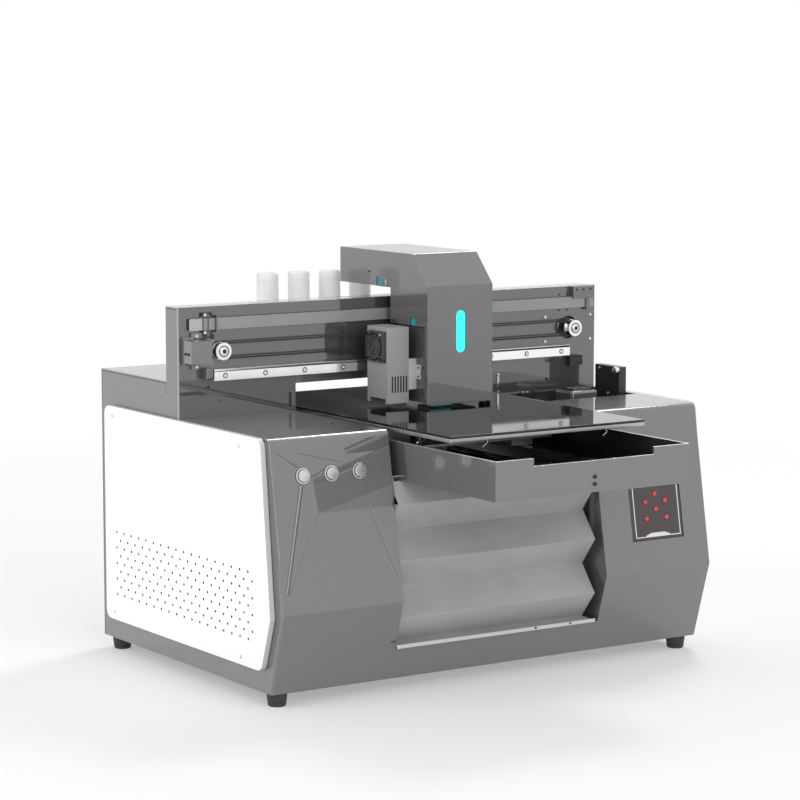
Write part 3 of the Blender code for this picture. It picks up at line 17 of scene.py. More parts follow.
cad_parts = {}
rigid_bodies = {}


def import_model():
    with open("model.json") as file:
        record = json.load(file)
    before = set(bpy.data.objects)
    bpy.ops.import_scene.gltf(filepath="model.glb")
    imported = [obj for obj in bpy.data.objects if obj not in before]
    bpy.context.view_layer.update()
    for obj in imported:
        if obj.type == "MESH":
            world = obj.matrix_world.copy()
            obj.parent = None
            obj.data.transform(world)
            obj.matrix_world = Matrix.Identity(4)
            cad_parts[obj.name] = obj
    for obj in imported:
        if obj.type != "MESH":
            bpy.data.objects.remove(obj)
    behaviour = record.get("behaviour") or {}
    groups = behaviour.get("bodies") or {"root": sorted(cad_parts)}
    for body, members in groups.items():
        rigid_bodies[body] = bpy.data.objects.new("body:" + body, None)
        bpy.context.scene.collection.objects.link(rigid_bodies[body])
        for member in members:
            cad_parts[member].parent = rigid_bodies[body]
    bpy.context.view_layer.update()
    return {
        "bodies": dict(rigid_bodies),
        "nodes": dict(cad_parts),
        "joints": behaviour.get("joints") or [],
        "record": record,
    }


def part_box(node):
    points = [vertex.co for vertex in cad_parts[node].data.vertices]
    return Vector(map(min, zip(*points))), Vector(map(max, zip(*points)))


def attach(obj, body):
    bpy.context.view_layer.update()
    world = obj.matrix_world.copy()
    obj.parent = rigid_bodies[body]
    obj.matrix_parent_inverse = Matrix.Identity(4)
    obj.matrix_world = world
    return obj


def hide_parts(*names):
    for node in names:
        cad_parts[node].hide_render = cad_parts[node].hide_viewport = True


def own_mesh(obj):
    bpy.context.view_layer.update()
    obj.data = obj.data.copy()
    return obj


LOG = logging.getLogger("printer")
Point = tuple[float, float, float]
Colour = tuple[float, float, float]
FaceTest = Callable[[Vector, Vector], bool]
EdgeTest = Callable[[Vector, Vector], bool]

UP: Point = (0.0, 0.0, 1.0)
FRONT: Point = (0.0, -1.0, 0.0)
LEFT: Point = (-1.0, 0.0, 0.0)
RIGHT: Point = (1.0, 0.0, 0.0)
SQUARE = 0.9
SMOOTH_ANGLE = 32.0
SENSOR_WIDTH = 36.0
WHITE = (1.0, 1.0, 1.0, 1.0)


class Axis(Enum):
    """The way a round piece points, as the turn that takes +Z to it."""

    X = (0.0, math.pi / 2.0, 0.0)
    Y = (-math.pi / 2.0, 0.0, 0.0)
    Z = (0.0, 0.0, 0.0)


class Drive(Enum):
    """The recess in a screw's head."""

    SOCKET = 6
    CROSS = 4


class ScrewLook(Enum):
    """A screw's finish and the record's material slot for it."""

    BRIGHT = ("screw_steel", "rail_steel")
    DARK = ("black_oxide_steel", "dark_metal")
    PAINTED = ("satin_black_paint", "dark_metal")


class Grain(Enum):
    """The way a metal's fine scratches run, as the pattern's stretch along x, y and z."""

    ALONG_X = (4.0, 900.0, 900.0)
    ALONG_Y = (900.0, 4.0, 900.0)
    ALONG_Z = (900.0, 900.0, 4.0)
    CAST = (260.0, 260.0, 260.0)


# ---------------------------------------------------------------- node graphs


class Graph:
    """A material's node tree, with short ways to add and join its nodes."""

    def __init__(self, name: str) -> None:
        """Starts a material with only a Principled shader and its output.

        Args:
            name: the material's name.
        """
        self.material = bpy.data.materials.new(name)
        self.material.use_nodes = True
        self.tree = self.material.node_tree
        self.tree.nodes.clear()
        self.shader = self.add("ShaderNodeBsdfPrincipled")
        self.output = self.add("ShaderNodeOutputMaterial")
        self.join(self.shader.outputs["BSDF"], self.output.inputs["Surface"])
        self.place = self.add("ShaderNodeTexCoord").outputs["Object"]

    def add(self, kind: str, **settings: object) -> bpy.types.Node:
        """Adds a node.

        Args:
            kind: the node's type name.
            settings: its properties, by name.

        Returns:
            The node.
        """
        node = self.tree.nodes.new(kind)
        for key, value in settings.items():
            setattr(node, key, value)
        return node

    def join(self, source: bpy.types.NodeSocket, target: bpy.types.NodeSocket) -> None:
        """Links one socket to another."""
        self.tree.links.new(source, target)

    def set(self, **values: object) -> None:
        """Sets the shader's own sockets, with _ for a space in their names."""
        for key, value in values.items():
            self.shader.inputs[key.replace("_", " ")].default_value = value

    def stretched(self, scale: Sequence[float]) -> bpy.types.NodeSocket:
        """Gives the place on the piece, stretched.

        Args:
            scale: how many times finer the pattern is along x, y and z.

        Returns:
            The vector socket.
        """
        mapping = self.add("ShaderNodeMapping")
        mapping.inputs["Scale"].default_value = tuple(scale)
        self.join(self.place, mapping.inputs["Vector"])
        return mapping.outputs["Vector"]

    def noise(self, scale: float | Sequence[float], detail: float = 3.0) -> bpy.types.NodeSocket:
        """Gives a noise of about one blotch per unit of the stretched place."""
        scale = (scale,) * 3 if isinstance(scale, float) else scale
        node = self.add("ShaderNodeTexNoise")
        node.inputs["Scale"].default_value = 1.0
        node.inputs["Detail"].default_value = detail
        self.join(self.stretched(scale), node.inputs["Vector"])
        return node.outputs["Fac"]

    def spread(self, source: bpy.types.NodeSocket, low: float, high: float,
               start: float = 0.3, end: float = 0.7) -> bpy.types.NodeSocket:
        """Turns the span start..end of a pattern into the values low..high."""
        node = self.add("ShaderNodeMapRange")
        for key, value in zip(("From Min", "From Max", "To Min", "To Max"), (start, end, low, high)):
            node.inputs[key].default_value = value
        self.join(source, node.inputs["Value"])
        return node.outputs["Result"]

    def tint(self, pattern: bpy.types.NodeSocket, first: Colour, second: Colour) -> None:
        """Colours the surface from one shade to another by a pattern."""
        self.join(self.blend(self.spread(pattern, 0.0, 1.0), first, second), self.shader.inputs["Base Color"])

    def roughen(self, pattern: bpy.types.NodeSocket, low: float, high: float) -> None:
        """Spreads the surface's roughness by a pattern."""
        self.join(self.spread(pattern, low, high), self.shader.inputs["Roughness"])

    def blend(self, factor: bpy.types.NodeSocket, first: Colour, second: Colour) -> bpy.types.NodeSocket:
        """Mixes two colours by a pattern."""
        node = self.add("ShaderNodeMix", data_type="RGBA")
        node.inputs["A"].default_value = (*first, 1.0)
        node.inputs["B"].default_value = (*second, 1.0)
        self.join(factor, node.inputs["Factor"])
        colours = [socket for socket in node.outputs if socket.type == "RGBA"]
        return colours[0]

    def bump(self, source: bpy.types.NodeSocket, height: float, strength: float = 1.0) -> None:
        """Raises the surface by a pattern, over any bump it has.

        Args:
            source: the pattern.
            height: its height in metres.
            strength: how much of it shows.
        """
        node = self.add("ShaderNodeBump")
        node.inputs["Distance"].default_value = height
        node.inputs["Strength"].default_value = strength
        self.join(source, node.inputs["Height"])
        normal = self.shader.inputs["Normal"]
        if normal.is_linked:
            self.join(normal.links[0].from_socket, node.inputs["Normal"])
        self.join(node.outputs["Normal"], normal)


def is_front(_centre: Vector, normal: Vector) -> bool:
    """Tells whether a face looks to the front."""
    return normal.y < -SQUARE


def is_top(_centre: Vector, normal: Vector) -> bool:
    """Tells whether a face looks up."""
    return normal.z > SQUARE


def is_bottom(_centre: Vector, normal: Vector) -> bool:
    """Tells whether a face looks down."""
    return normal.z < -SQUARE


def is_side(_centre: Vector, normal: Vector) -> bool:
    """Tells whether a face looks to the left or right."""
    return abs(normal.x) > SQUARE


def runs_deep(_middle: Vector, way: Vector) -> bool:
    """Tells whether an edge runs from front to back."""
    return abs(way.y) > SQUARE


def runs_across(_middle: Vector, way: Vector) -> bool:
    """Tells whether an edge runs from left to right."""
    return abs(way.x) > SQUARE


def shaded(colour: Colour, amount: float) -> Colour:
    """Gives a colour made lighter or darker by a share of itself."""
    return tuple(min(1.0, max(0.0, value * (1.0 + amount))) for value in colour)


# ------------------------------------------------------------------- finishes


@dataclass(frozen=True)
class Paint:
    """Sprayed and baked paint: faint orange peel under a clear gloss."""

    name: str
    colour: Colour
    roughness: float = 0.38
    gloss: float = 0.9
    peel: float = 0.0000006
    cloud: float = 0.02
    gloss_index: float = 2.1

    def material(self) -> bpy.types.Material:
        """Makes the paint."""
        graph = Graph(self.name)
        graph.tint(graph.noise(9.0, 4.0), shaded(self.colour, -self.cloud), shaded(self.colour, self.cloud))
        graph.roughen(graph.noise(60.0), self.roughness - 0.04, self.roughness + 0.05)
        graph.set(Coat_Weight=self.gloss, Coat_Roughness=0.03, Coat_IOR=self.gloss_index)
        graph.bump(graph.noise(650.0, 2.0), self.peel)
        return graph.material


@dataclass(frozen=True)
class Metal:
    """Bare metal with fine scratches one way."""

    name: str
    colour: Colour
    roughness: float = 0.22
    grain: Grain = Grain.CAST
    depth: float = 0.00001

    def material(self) -> bpy.types.Material:
        """Makes the metal."""
        graph = Graph(self.name)
        scratches = graph.noise(self.grain.value, 4.0)
        graph.tint(scratches, shaded(self.colour, -0.09), self.colour)
        graph.roughen(graph.noise(45.0), self.roughness * 0.8, self.roughness * 1.25)
        graph.set(Metallic=1.0)
        graph.bump(scratches, self.depth)
        return graph.material


@dataclass(frozen=True)
class Moulding:
    """Moulded plastic or rubber with a fine etched skin."""

    name: str
    colour: Colour
    roughness: float = 0.5
    skin: float = 0.00003
    clear: float = 0.0
    coat: float = 0.0

    def material(self) -> bpy.types.Material:
        """Makes the plastic."""
        graph = Graph(self.name)
        graph.tint(graph.noise(30.0), shaded(self.colour, -0.06), shaded(self.colour, 0.05))
        graph.roughen(graph.noise(140.0), self.roughness - 0.05, self.roughness + 0.05)
        graph.set(Coat_Weight=self.coat, Coat_Roughness=0.05, Transmission_Weight=self.clear, IOR=1.45)
        cells = graph.add("ShaderNodeTexVoronoi")
        cells.inputs["Scale"].default_value = 1.0
        graph.join(graph.stretched((1800.0, 1800.0, 1800.0)), cells.inputs["Vector"])
        graph.bump(cells.outputs["Distance"], self.skin)
        return graph.material


@dataclass(frozen=True)
class PolishedGlass:
    """Black-backed plate glass with a hint of dust and wipe marks."""

    name: str
    colour: Colour

    def material(self) -> bpy.types.Material:
        """Makes the glass."""
        graph = Graph(self.name)
        wipes = graph.noise((14.0, 3.0, 14.0), 5.0)
        graph.tint(wipes, self.colour, shaded(self.colour, 0.35))
        graph.roughen(wipes, 0.03, 0.075)
        graph.set(IOR=1.52, Coat_Weight=0.15, Coat_Roughness=0.02)
        return graph.material


@dataclass(frozen=True)
class CoatedCloth:
    """Fabric with a smooth coat: a faint plain weave under a soft sheen."""

    name: str
    colour: Colour
    threads: float = 1500.0

    def material(self) -> bpy.types.Material:
        """Makes the cloth."""
        graph = Graph(self.name)
        cloud = graph.noise((16.0, 16.0, 40.0), 5.0)
        graph.tint(cloud, shaded(self.colour, -0.07), shaded(self.colour, 0.05))
        graph.roughen(cloud, 0.36, 0.48)
        graph.set(Sheen_Weight=0.15, Sheen_Roughness=0.4, Coat_Weight=0.15, Coat_Roughness=0.25)
        for direction in ("X", "Z"):
            threads = graph.add("ShaderNodeTexWave", wave_type="BANDS", bands_direction=direction)
            threads.inputs["Scale"].default_value = self.threads / 20.0
            threads.inputs["Distortion"].default_value = 0.6
            graph.join(graph.place, threads.inputs["Vector"])
            graph.bump(threads.outputs["Fac"], 0.00004, 0.5)
        graph.bump(cloud, 0.0012, 0.6)
        return graph.material


@dataclass(frozen=True)
class Glow:
    """A frosted light cover, lit from behind; the teal recipe is a painted glow on plain blocks that are no
    lamp.
    """

    name: str
    colour: Colour
    strength: float = 0.55

    def material(self) -> bpy.types.Material:
        """Makes the lit cover, a little brighter towards its middle blotches."""
        graph = Graph(self.name)
        cloud = graph.spread(graph.noise(70.0), 0.0, 1.0)
        colour = graph.blend(cloud, shaded(self.colour, -0.05), self.colour)
        graph.join(colour, graph.shader.inputs["Base Color"])
        graph.join(colour, graph.shader.inputs["Emission Color"])
        graph.set(Emission_Strength=self.strength, Roughness=0.3)
        return graph.material


class Finishes:
    """Every finish on the printer, made once and kept by name."""

    RECIPES = (
        Paint("body_grey_paint", (0.090, 0.090, 0.091)),
        # a darker and a lighter body paint for the raised lines on the left front: painted shade and painted
        # highlight
        Paint("crease_shade_paint", (0.030, 0.030, 0.031), gloss=0.25),
        Paint("crease_light_paint", (0.150, 0.150, 0.152), gloss=0.9),
        # near-white grey: a painted highlight on the trough's rims
        Paint("edge_grey_paint", (0.80, 0.80, 0.805), roughness=0.3),
        # light grey: the portal cover's paint, and painted light on the portal plate's end faces
        Paint("tower_grey_paint", (0.21, 0.21, 0.211)),
        Paint("hood_grey_paint", (0.072, 0.072, 0.073), gloss=0.8),
        # darkest grey: the portal plate's own paint, and painted shade on the well's walls and the slide's
        # left side
        Paint("beam_grey_paint", (0.046, 0.046, 0.047)),
        Paint("side_white_paint", (0.92, 0.92, 0.925), roughness=0.34, gloss=0.5, cloud=0.004,
              gloss_index=1.5),
        # darker, faintly warm grey: painted shade on the side panels' edges, with a slight tint of their own
        Paint("side_edge_paint", (0.56, 0.545, 0.55), roughness=0.4, gloss=0.2, gloss_index=1.5),
        # near-black paint: the own colour of black parts, and painted shade in holes, vents, grooves, rings,
        # the trough and the well's side gaps
        Paint("satin_black_paint", (0.018, 0.018, 0.019), roughness=0.4, gloss=0.2, gloss_index=1.5),
        Paint("head_grey_paint", (0.085, 0.085, 0.087), roughness=0.42, gloss=0.3, gloss_index=1.6),
        Paint("lamp_grey_paint", (0.33, 0.33, 0.332), roughness=0.42, gloss=0.15, gloss_index=1.5),
        Paint("bracket_grey_paint", (0.52, 0.52, 0.525), roughness=0.42, gloss=0.15, gloss_index=1.5),
        Metal("polished_rail_steel", (0.96, 0.96, 0.965), 0.14, Grain.ALONG_X, 0.0000005),
        Metal("ground_rail_steel", (0.62, 0.625, 0.63), 0.2, Grain.ALONG_Y),
        Metal("shaft_steel", (0.6, 0.605, 0.61), 0.22, Grain.ALONG_Z),
        Metal("screw_steel", (0.78, 0.78, 0.79), 0.22),
        Metal("black_oxide_steel", (0.05, 0.05, 0.053), 0.35),
        Metal("guard_wire", (0.34, 0.34, 0.345), 0.4),
        Metal("pulley_aluminium", (0.88, 0.88, 0.885), 0.2),
        Metal("satin_aluminium_sheet", (0.50, 0.50, 0.51), 0.36, Grain.ALONG_X),
        Metal("bright_chrome", (0.86, 0.86, 0.87), 0.08, Grain.CAST, 0.000002),
        Metal("button_silver", (0.68, 0.68, 0.69), 0.26, Grain.CAST, 0.0000003),
        Moulding("foot_rubber", (0.035, 0.035, 0.036), 0.62, 0.00006),
        Moulding("belt_rubber", (0.02, 0.02, 0.021), 0.55),
        Moulding("fan_plastic", (0.055, 0.055, 0.057), 0.42),
        Moulding("console_plastic", (0.062, 0.050, 0.050), 0.38, coat=0.12),
        Moulding("key_red_plastic", (0.60, 0.045, 0.035), 0.28, 0.00001, coat=0.6),
        Moulding("bottle_plastic", (0.95, 0.955, 0.96), 0.35, 0.00001, clear=0.45),
        Moulding("strip_film", (0.27, 0.275, 0.28), 0.22, 0.000005, coat=0.5),
        Moulding("strip_end_film", (0.43, 0.435, 0.44), 0.22, 0.000005, coat=0.5),
        Moulding("wiper_white", (0.82, 0.82, 0.82), 0.5),
        Moulding("head_black_plastic", (0.02, 0.02, 0.021), 0.35),
        PolishedGlass("black_bed_glass", (0.004, 0.004, 0.005)),
        CoatedCloth("bellows_cloth", (0.355, 0.355, 0.36)),
        Glow("cyan_light", (0.03, 0.86, 0.93)),
        # painted glow on blocks that stand in for the light inside the carriage; no lamp
        Glow("teal_tube", (0.01, 0.20, 0.23), 0.5),
    )

    def __init__(self) -> None:
        """Starts with nothing made."""
        self.made: dict[str, bpy.types.Material] = {}

    def get(self, name: str) -> bpy.types.Material:
        """Gives a finish's material, made when first asked for."""
        if name not in self.made:
            recipe = next(recipe for recipe in self.RECIPES if recipe.name == name)
            self.made[name] = recipe.material()
        return self.made[name]


# ------------------------------------------------------------------ modelling


@dataclass(frozen=True)
class Box:
    """The lowest and highest corner of a piece."""

    low: Vector
    high: Vector

    @classmethod
    def of(cls, node: str) -> "Box":
        """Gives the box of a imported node."""
        low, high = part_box(node)
        return cls(Vector(low), Vector(high))

    @property
    def centre(self) -> Vector:
        """The middle of the box."""
        return (self.low + self.high) / 2.0

    @property
    def size(self) -> Vector:
        """The box's three sides."""
        return self.high - self.low


def deselect() -> None:
    """Leaves edit mode and deselects every object."""
    if bpy.context.object and bpy.context.object.mode != "OBJECT":
        bpy.ops.object.mode_set(mode="OBJECT")
    bpy.ops.object.select_all(action="DESELECT")


def pick(piece: bpy.types.Object) -> None:
    """Makes one object the only one selected, and active."""
    deselect()
    piece.select_set(True)
    bpy.context.view_layer.objects.active = piece


def settle(name: str) -> bpy.types.Object:
    """Names the active new object and moves its place into its mesh.

    Args:
        name: the object's name.

    Returns:
        The object.
    """
    piece = bpy.context.object
    piece.name = name
    piece.data.name = name
    bpy.ops.object.transform_apply(location=True, rotation=True, scale=True)
    return piece


def block(name: str, low: Sequence[float], high: Sequence[float]) -> bpy.types.Object:
    """Adds a block between two corners."""
    deselect()
    low, high = Vector(low), Vector(high)
    bpy.ops.mesh.primitive_cube_add(size=1.0, location=(low + high) / 2.0, scale=high - low)
    return settle(name)


def round_bar(name: str, centre: Sequence[float], radius: float, length: float, axis: Axis = Axis.Z,
              sides: int = 32) -> bpy.types.Object:
    """Adds a round bar about its middle."""
    deselect()
    bpy.ops.mesh.primitive_cylinder_add(vertices=sides, radius=radius, depth=length, location=centre,
                                        rotation=axis.value)
    return settle(name)


def start_edit(piece: bpy.types.Object, mode: tuple[bool, bool, bool],
               chosen: Callable[[], Iterable[tuple[object, bool]]]) -> int:
    """Enters edit mode with chosen parts of a mesh selected.

    Args:
        piece: the object.
        mode: whether vertices, edges and faces can be selected.
        chosen: gives each part, and whether to select it.

    Returns:
        How many parts are selected.
    """
    pick(piece)
    bpy.ops.object.mode_set(mode="EDIT")
    bpy.context.tool_settings.mesh_select_mode = mode
    bpy.ops.mesh.select_all(action="DESELECT")
    bpy.ops.object.mode_set(mode="OBJECT")
    count = 0
    for part, wanted in chosen():
        part.select = wanted
        count += wanted
    bpy.ops.object.mode_set(mode="EDIT")
    return count


def edit_faces(piece: bpy.types.Object, test: FaceTest) -> int:
    """Enters edit mode with the faces selected that pass a test of centre and normal."""
    return start_edit(piece, (False, False, True), lambda: (
        (face, test(face.center, face.normal)) for face in piece.data.polygons))


def edit_edges(piece: bpy.types.Object, test: EdgeTest) -> int:
    """Enters edit mode with the edges selected that pass a test of middle and direction."""
    def tested() -> Iterable[tuple[bpy.types.MeshEdge, bool]]:
        """Gives each edge with the test's answer."""
        for edge in piece.data.edges:
            first, second = (piece.data.vertices[index].co for index in edge.vertices)
            yield edge, test((first + second) / 2.0, (second - first).normalized())
    return start_edit(piece, (False, True, False), tested)


def done() -> None:
    """Leaves edit mode."""
    bpy.ops.object.mode_set(mode="OBJECT")


def bevel(piece: bpy.types.Object, test: EdgeTest, width: float, segments: int = 4) -> None:
    """Rounds chosen edges."""
    if edit_edges(piece, test):
        bpy.ops.mesh.bevel(offset=width, segments=segments, affect="EDGES")
    done()


def inset(piece: bpy.types.Object, test: FaceTest, width: float, depth: float) -> None:
    """Insets chosen faces and sinks them, or raises them where depth is above zero."""
    if edit_faces(piece, test):
        bpy.ops.mesh.inset(thickness=width, depth=depth)
    done()


def extrude(piece: bpy.types.Object, test: FaceTest, move: Sequence[float]) -> None:
    """Extrudes chosen faces by a move."""
    if edit_faces(piece, test):
        bpy.ops.mesh.extrude_region_move(TRANSFORM_OT_translate={"value": tuple(move)})
    done()


def soften(piece: bpy.types.Object, width: float, segments: int = 2, angle: float = 30.0) -> None:
    """Rounds every edge sharper than an angle, with a bevel modifier that is then applied."""
    pick(piece)
    modifier = piece.modifiers.new("soften", "BEVEL")
    modifier.width = width
    modifier.segments = segments
    modifier.limit_method = "ANGLE"
    modifier.angle_limit = math.radians(angle)
    modifier.harden_normals = False
    bpy.ops.object.modifier_apply(modifier=modifier.name)


def carve(piece: bpy.types.Object, cutters: Sequence[bpy.types.Object], keep_finish: bool = False) -> None:
    """Cuts pieces out of another and removes them.

    Args:
        piece: what is cut.
        cutters: what is cut out of it.
        keep_finish: whether the cut faces take the cutters' finish.
    """
    tool = merge("cutter", cutters)
    pick(piece)
    modifier = piece.modifiers.new("carve", "BOOLEAN")
    modifier.operation = "DIFFERENCE"
    modifier.solver = "EXACT"
    modifier.object = tool
    if keep_finish:
        modifier.material_mode = "TRANSFER"
    bpy.ops.object.modifier_apply(modifier=modifier.name)
    bpy.data.objects.remove(tool, do_unlink=True)


def merge(name: str, pieces: Sequence[bpy.types.Object]) -> bpy.types.Object:
    """Joins meshes into the first one.

    Args:
        name: the joined object's name.
        pieces: the objects, of which the first is kept.

    Returns:
        The joined object.
    """
    deselect()
    for piece in pieces:
        piece.select_set(True)
    bpy.context.view_layer.objects.active = pieces[0]
    if len(pieces) > 1:
        bpy.ops.object.join()
    pieces[0].name = name
    pieces[0].data.name = name
    return pieces[0]


def copy_at(piece: bpy.types.Object, name: str, place: Sequence[float],
            normal: Sequence[float] = UP) -> bpy.types.Object:
    """Copies a piece modelled at the origin to a place, with its +Z along a normal.

    Args:
        piece: what is copied, with its own mesh.
        name: the copy's name.
        place: where the copy's origin goes.
        normal: where its +Z points.

    Returns:
        The copy, with its place in its mesh.
    """
    pick(piece)
    bpy.ops.object.duplicate(linked=False)
    copy = bpy.context.object
    copy.location = Vector(place)
    copy.rotation_euler = Vector(normal).to_track_quat("Z", "Y").to_euler()
    return settle(name)


def lathe(name: str, steps: Sequence[tuple[float, float]], place: Sequence[float] = (0.0, 0.0, 0.0),
          normal: Sequence[float] = UP, sides: int = 32, closed: bool = False) -> bpy.types.Object:
    """Draws a round piece up from a disc, one extrusion and resize at a time.

    Args:
        name: the object's name.
        steps: radius and height of each ring, the first at the bottom.
        place: where height 0 of the axis goes.
        normal: where the axis points.
        sides: how many sides the rings have.
        closed: whether the steps go round a ring's section, which leaves its bore open.

    Returns:
        The piece, with its place in its mesh.
    """
    deselect()
    radius, height = steps[0]
    bpy.ops.mesh.primitive_circle_add(vertices=sides, radius=radius, location=(0.0, 0.0, height),
                                      fill_type="NOTHING" if closed else "NGON")
    piece = settle(name)
    bpy.ops.object.mode_set(mode="EDIT")
    bpy.context.tool_settings.mesh_select_mode = (True, False, False)
    bpy.ops.mesh.select_all(action="SELECT")
    for next_radius, next_height in (*steps[1:], *(steps[:1] if closed else ())):
        bpy.ops.mesh.extrude_region_move(
            TRANSFORM_OT_translate={"value": (0.0, 0.0, next_height - height)})
        ratio = next_radius / radius
        bpy.ops.transform.resize(value=(ratio, ratio, 1.0), center_override=(0.0, 0.0, next_height))
        radius, height = next_radius, next_height
    bpy.ops.mesh.select_all(action="SELECT")
    bpy.ops.mesh.remove_doubles(threshold=0.000001)
    bpy.ops.mesh.normals_make_consistent(inside=False)
    done()
    piece.location = Vector(place)
    piece.rotation_euler = Vector(normal).to_track_quat("Z", "Y").to_euler()
    return settle(name)


def smooth(piece: bpy.types.Object, angle: float = SMOOTH_ANGLE) -> None:
    """Shades a piece smooth, apart from sharp edges, and keeps its large faces flat."""
    pick(piece)
    bpy.ops.object.shade_smooth_by_angle(angle=math.radians(angle))
    modifier = piece.modifiers.new("flat_faces", "WEIGHTED_NORMAL")
    modifier.mode = "FACE_AREA"
    modifier.weight = 50
    modifier.keep_sharp = True
    bpy.ops.object.modifier_apply(modifier=modifier.name)


@dataclass
class Maker:
    """What every sub-assembly shares: the frame, the finishes, the screws and the last steps on a piece."""

    frame: dict
    finishes: Finishes
    screws: "Fasteners | None" = None

    def dress(self, piece: bpy.types.Object, finish: str, body: str, slot: str,
              replaces: Sequence[str] = (), angle: float = SMOOTH_ANGLE) -> bpy.types.Object:
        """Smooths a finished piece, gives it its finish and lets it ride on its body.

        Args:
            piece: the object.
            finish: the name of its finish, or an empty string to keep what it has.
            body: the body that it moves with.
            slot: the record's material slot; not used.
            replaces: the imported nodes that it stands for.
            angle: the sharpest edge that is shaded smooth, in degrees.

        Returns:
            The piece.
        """
        smooth(piece, angle)
        if finish:
            piece.data.materials.clear()
            piece.data.materials.append(self.finishes.get(finish))
        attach(piece, body)
        if replaces:
            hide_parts(*replaces)
        LOG.info("%s: %d faces, rides on %s", piece.name, len(piece.data.polygons), body)
        return piece

    def bar(self, name: str, low: Sequence[float], high: Sequence[float], edge: float, finish: str,
            body: str, slot: str) -> bpy.types.Object:
        """Adds a block between two corners with softened edges, and dresses it."""
        piece = block(name, low, high)
        soften(piece, edge)
        return self.dress(piece, finish, body, slot)

    def turned(self, name: str, steps: Sequence[tuple[float, float]], place: Sequence[float],
               normal: Sequence[float], sides: int, finish: str, body: str, slot: str,
               replaces: Sequence[str] = (), angle: float = SMOOTH_ANGLE,
               closed: bool = False) -> bpy.types.Object:
        """Turns a round piece as lathe does, and dresses it."""
        piece = lathe(name, steps, place, normal, sides, closed)
        return self.dress(piece, finish, body, slot, replaces, angle)

    def repaint(self, piece: bpy.types.Object, test: FaceTest, finish: str) -> None:
        """Gives chosen faces of a piece a second finish."""
        piece.data.materials.append(self.finishes.get(finish))
        index = len(piece.data.materials) - 1
        for face in piece.data.polygons:
            if test(face.center, face.normal):
                face.material_index = index

    def paint_node(self, finish: str, *nodes: str) -> None:
        """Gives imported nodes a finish, and leaves their meshes alone."""
        for node in nodes:
            materials = self.frame["nodes"][node].data.materials
            materials.clear()
            materials.append(self.finishes.get(finish))
            LOG.info("%s: finish %s", node, finish)

    def refined(self, node: str, finish: str, body: str, slot: str, edge: float = 0.0006,
                segments: int = 2) -> bpy.types.Object:
        """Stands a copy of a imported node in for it, with its edges softened.

        Args:
            node: the node.
            finish: the copy's finish.
            body: the body that it moves with.
            slot: the record's material slot.
            edge: the radius of the softened edges.
            segments: how many faces round each edge.

        Returns:
            The copy.
        """
        source = self.frame["nodes"][node]
        deselect()
        copy = bpy.data.objects.new(f"{node}_shell", source.data.copy())
        bpy.context.scene.collection.objects.link(copy)
        pick(copy)
        bpy.ops.object.mode_set(mode="EDIT")
        bpy.ops.mesh.select_all(action="SELECT")
        bpy.ops.mesh.remove_doubles(threshold=0.00002)
        bpy.ops.mesh.dissolve_limited(angle_limit=math.radians(1.0))
        bpy.ops.mesh.select_all(action="DESELECT")
        done()
        soften(copy, edge, segments, 40.0)
        return self.dress(copy, finish, body, slot, (node,))


# ---------------------------------------------------------------- the setting


